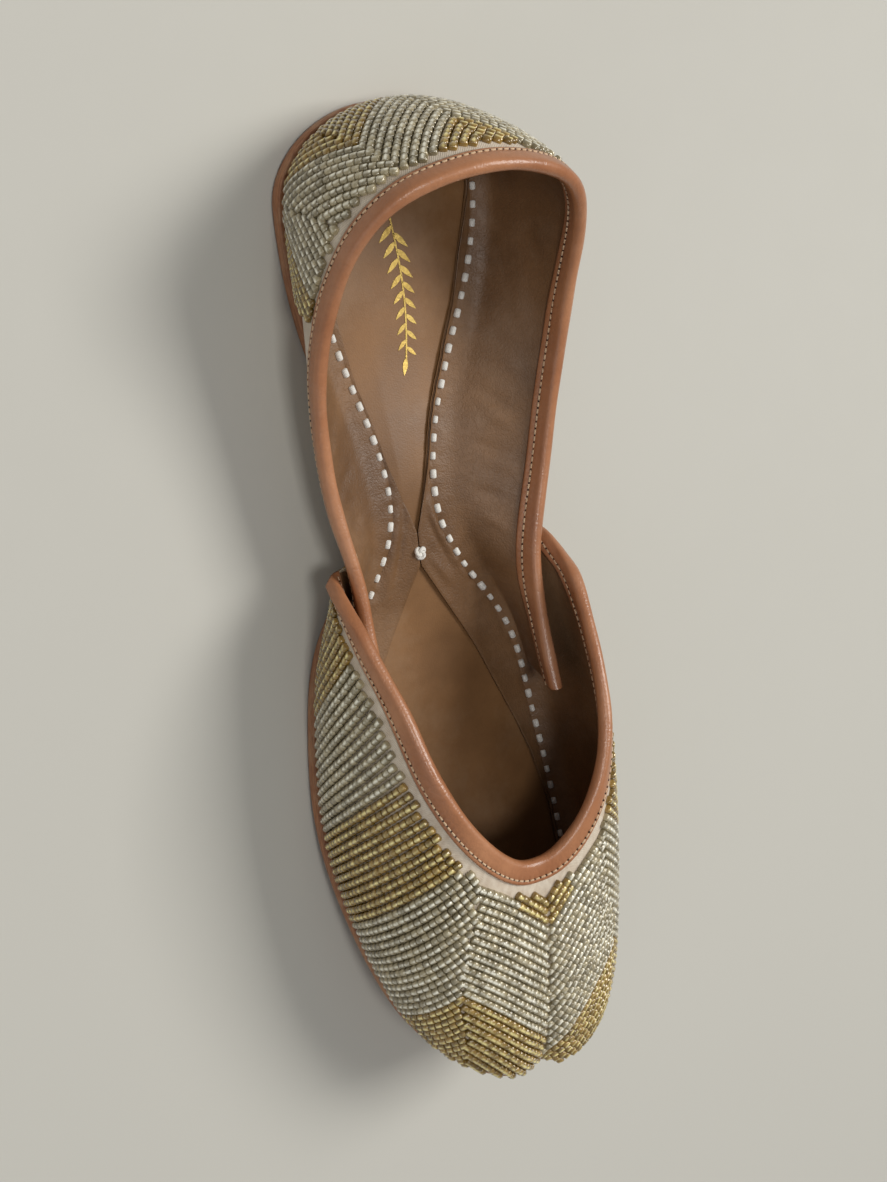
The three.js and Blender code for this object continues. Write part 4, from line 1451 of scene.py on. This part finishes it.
def make_sprig(pad):
    """Plain leaf sprig pressed in foil on the heel of the insole."""
    pad_mesh = pad.data
    surface = BVHTree.FromPolygons([v.co.copy() for v in pad_mesh.vertices],
                                   [list(p.vertices) for p in pad_mesh.polygons])
    stem_x = np.linspace(*STEM_ENDS, 40)
    stem_length = STEM_ENDS[1] - STEM_ENDS[0]
    stem_y = STEM_SIDE + STEM_BEND * np.sin((stem_x - STEM_ENDS[0]) / stem_length * STEM_TURN)
    strips = [np.stack([np.stack([stem_x, stem_y + side * STEM_HALF], -1) for side in (1, -1)], 1)]
    for i, x in enumerate(np.linspace(STEM_ENDS[0] + 4, STEM_ENDS[1] - 4, LEAF_PAIRS)):
        y = float(np.interp(x, stem_x, stem_y))
        for side in (-1, 1):
            length, width = (size - taper * i for size, taper in zip(LEAF_SIZE, LEAF_TAPER))
            strips.append(leaf(x + side * 0.9, y, side * LEAF_ANGLE, length, width))
    tip_x, *tip_shape = TIP_LEAF
    strips.append(leaf(tip_x, float(stem_y[-1]), *tip_shape))
    points, faces = [], []
    for strip in strips:
        base = len(points)
        for row in strip:
            for x, y in row:
                spot = in_frame((x, y, 0))
                hit, _, _, _ = surface.ray_cast(Vector((spot[0], spot[1], 0.1)), Vector((0, 0, -1)))
                points.append((x, y, hit.z / MM + FOIL_LIFT))
        for j in range(len(strip) - 1):
            k = base + 2 * j
            faces.append((k, k + 1, k + 3, k + 2))
    piece = add_mesh("foil_sprig", np.array(points), faces, GOLD_FOIL, smooth=False)
    thicken = piece.modifiers.new("thickness", "SOLIDIFY")
    thicken.thickness = FOIL_THICK * MM
    thicken.offset = 1
    finish_piece(piece)


# ---- the shoe

make_outsole()
insole_pad = make_insole()
cloth_shell("quarter_cloth", quarter, -QUARTER_END, QUARTER_END, 300, 22)
cloth_shell("vamp_cloth", vamp, VAMP_START, VAMP_END, 320, 34)
lining_sheet("quarter_lining", quarter, -QUARTER_END, QUARTER_END, 420)
lining_sheet("vamp_lining", vamp, VAMP_START + LINING_SHORT, VAMP_END - LINING_SHORT, 360, MARGIN_SEAM)
make_tape("collar_tape", quarter, -QUARTER_END, QUARTER_END, 900, "collar_binding")
make_tape("throat_tape", vamp, VAMP_START, VAMP_END, 760, "throat_binding")
make_beadwork()
tape_seam("collar_seam", quarter, -QUARTER_END, QUARTER_END, 31)
tape_seam("throat_seam", vamp, VAMP_START + SEAM_SHORT, VAMP_END - SEAM_SHORT, 37)
make_cotton_stitches()
make_knot()
make_sprig(insole_pad)


# ---- floor, light and camera

FLOOR_HALF = 12000.0


def make_floor():
    corners = np.array([(-1, -1, 0), (1, -1, 0), (1, 1, 0), (-1, 1, 0)]) * FLOOR_HALF - ORIGIN
    add_mesh("floor", corners, [(0, 1, 2, 3)], FLOOR)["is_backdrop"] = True


LIT_PLACE = (0.0, 0.0, 0.02)


def turned_to(place, target, up):
    """Orientation that looks from a place at a target."""
    forward = (Vector(target) - Vector(place)).normalized()
    right = forward.cross(Vector(up)).normalized()
    over = right.cross(forward)
    return Matrix((right, over, -forward)).transposed().to_4x4()


def make_light(name, place, size, power, colour):
    lamp = bpy.data.lights.new(name, "AREA")
    lamp.shape = "SQUARE"
    lamp.size = size
    lamp.energy = power
    lamp.color = colour
    thing = bpy.data.objects.new(name, lamp)
    bpy.context.scene.collection.objects.link(thing)
    thing.matrix_world = Matrix.Translation(place) @ turned_to(place, LIT_PLACE, (1, 0, 0))


WORLD_COLOUR = (0.93, 0.96, 1.0, 1.0)
WORLD_STRENGTH = 0.22


def make_world():
    world = bpy.data.worlds.new("studio")
    world.use_nodes = True
    background = world.node_tree.nodes["Background"]
    background.inputs["Color"].default_value = WORLD_COLOUR
    background.inputs["Strength"].default_value = WORLD_STRENGTH
    bpy.context.scene.world = world


CAMERA_PLACE = (-11.9, -231.4, 394.1)
CAMERA_FORWARD = (0.2847, 0.5021, -0.8166)
CAMERA_UP = (-0.964, 0.196, -0.179)
CAMERA_LENS = 56.0
SENSOR_WIDTH = 36.0


def make_camera():
    view = bpy.data.cameras.new("view")
    view.sensor_width = SENSOR_WIDTH
    view.lens = CAMERA_LENS
    thing = bpy.data.objects.new("view", view)
    bpy.context.scene.collection.objects.link(thing)
    place = in_frame(CAMERA_PLACE)
    target = place + np.array(CAMERA_FORWARD)
    thing.matrix_world = Matrix.Translation(place) @ turned_to(place, target, CAMERA_UP)
    bpy.context.scene.camera = thing


make_floor()
make_world()
make_light("key", (-0.50, 1.20, 1.50), size=0.9, power=31.0, colour=(1.0, 0.99, 0.96))
make_light("fill", (0.30, -0.9, 0.70), size=0.9, power=1.2, colour=(0.95, 0.98, 1.0))
make_light("glint", (-0.15, -0.30, 1.05), size=0.2, power=3.0, colour=(1.0, 0.99, 0.97))
make_camera()
bpy.context.scene.view_settings.view_transform = "Standard"

bounds = [packed_bounds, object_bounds()]
[[list(corner) for corner in box] for box in bounds]
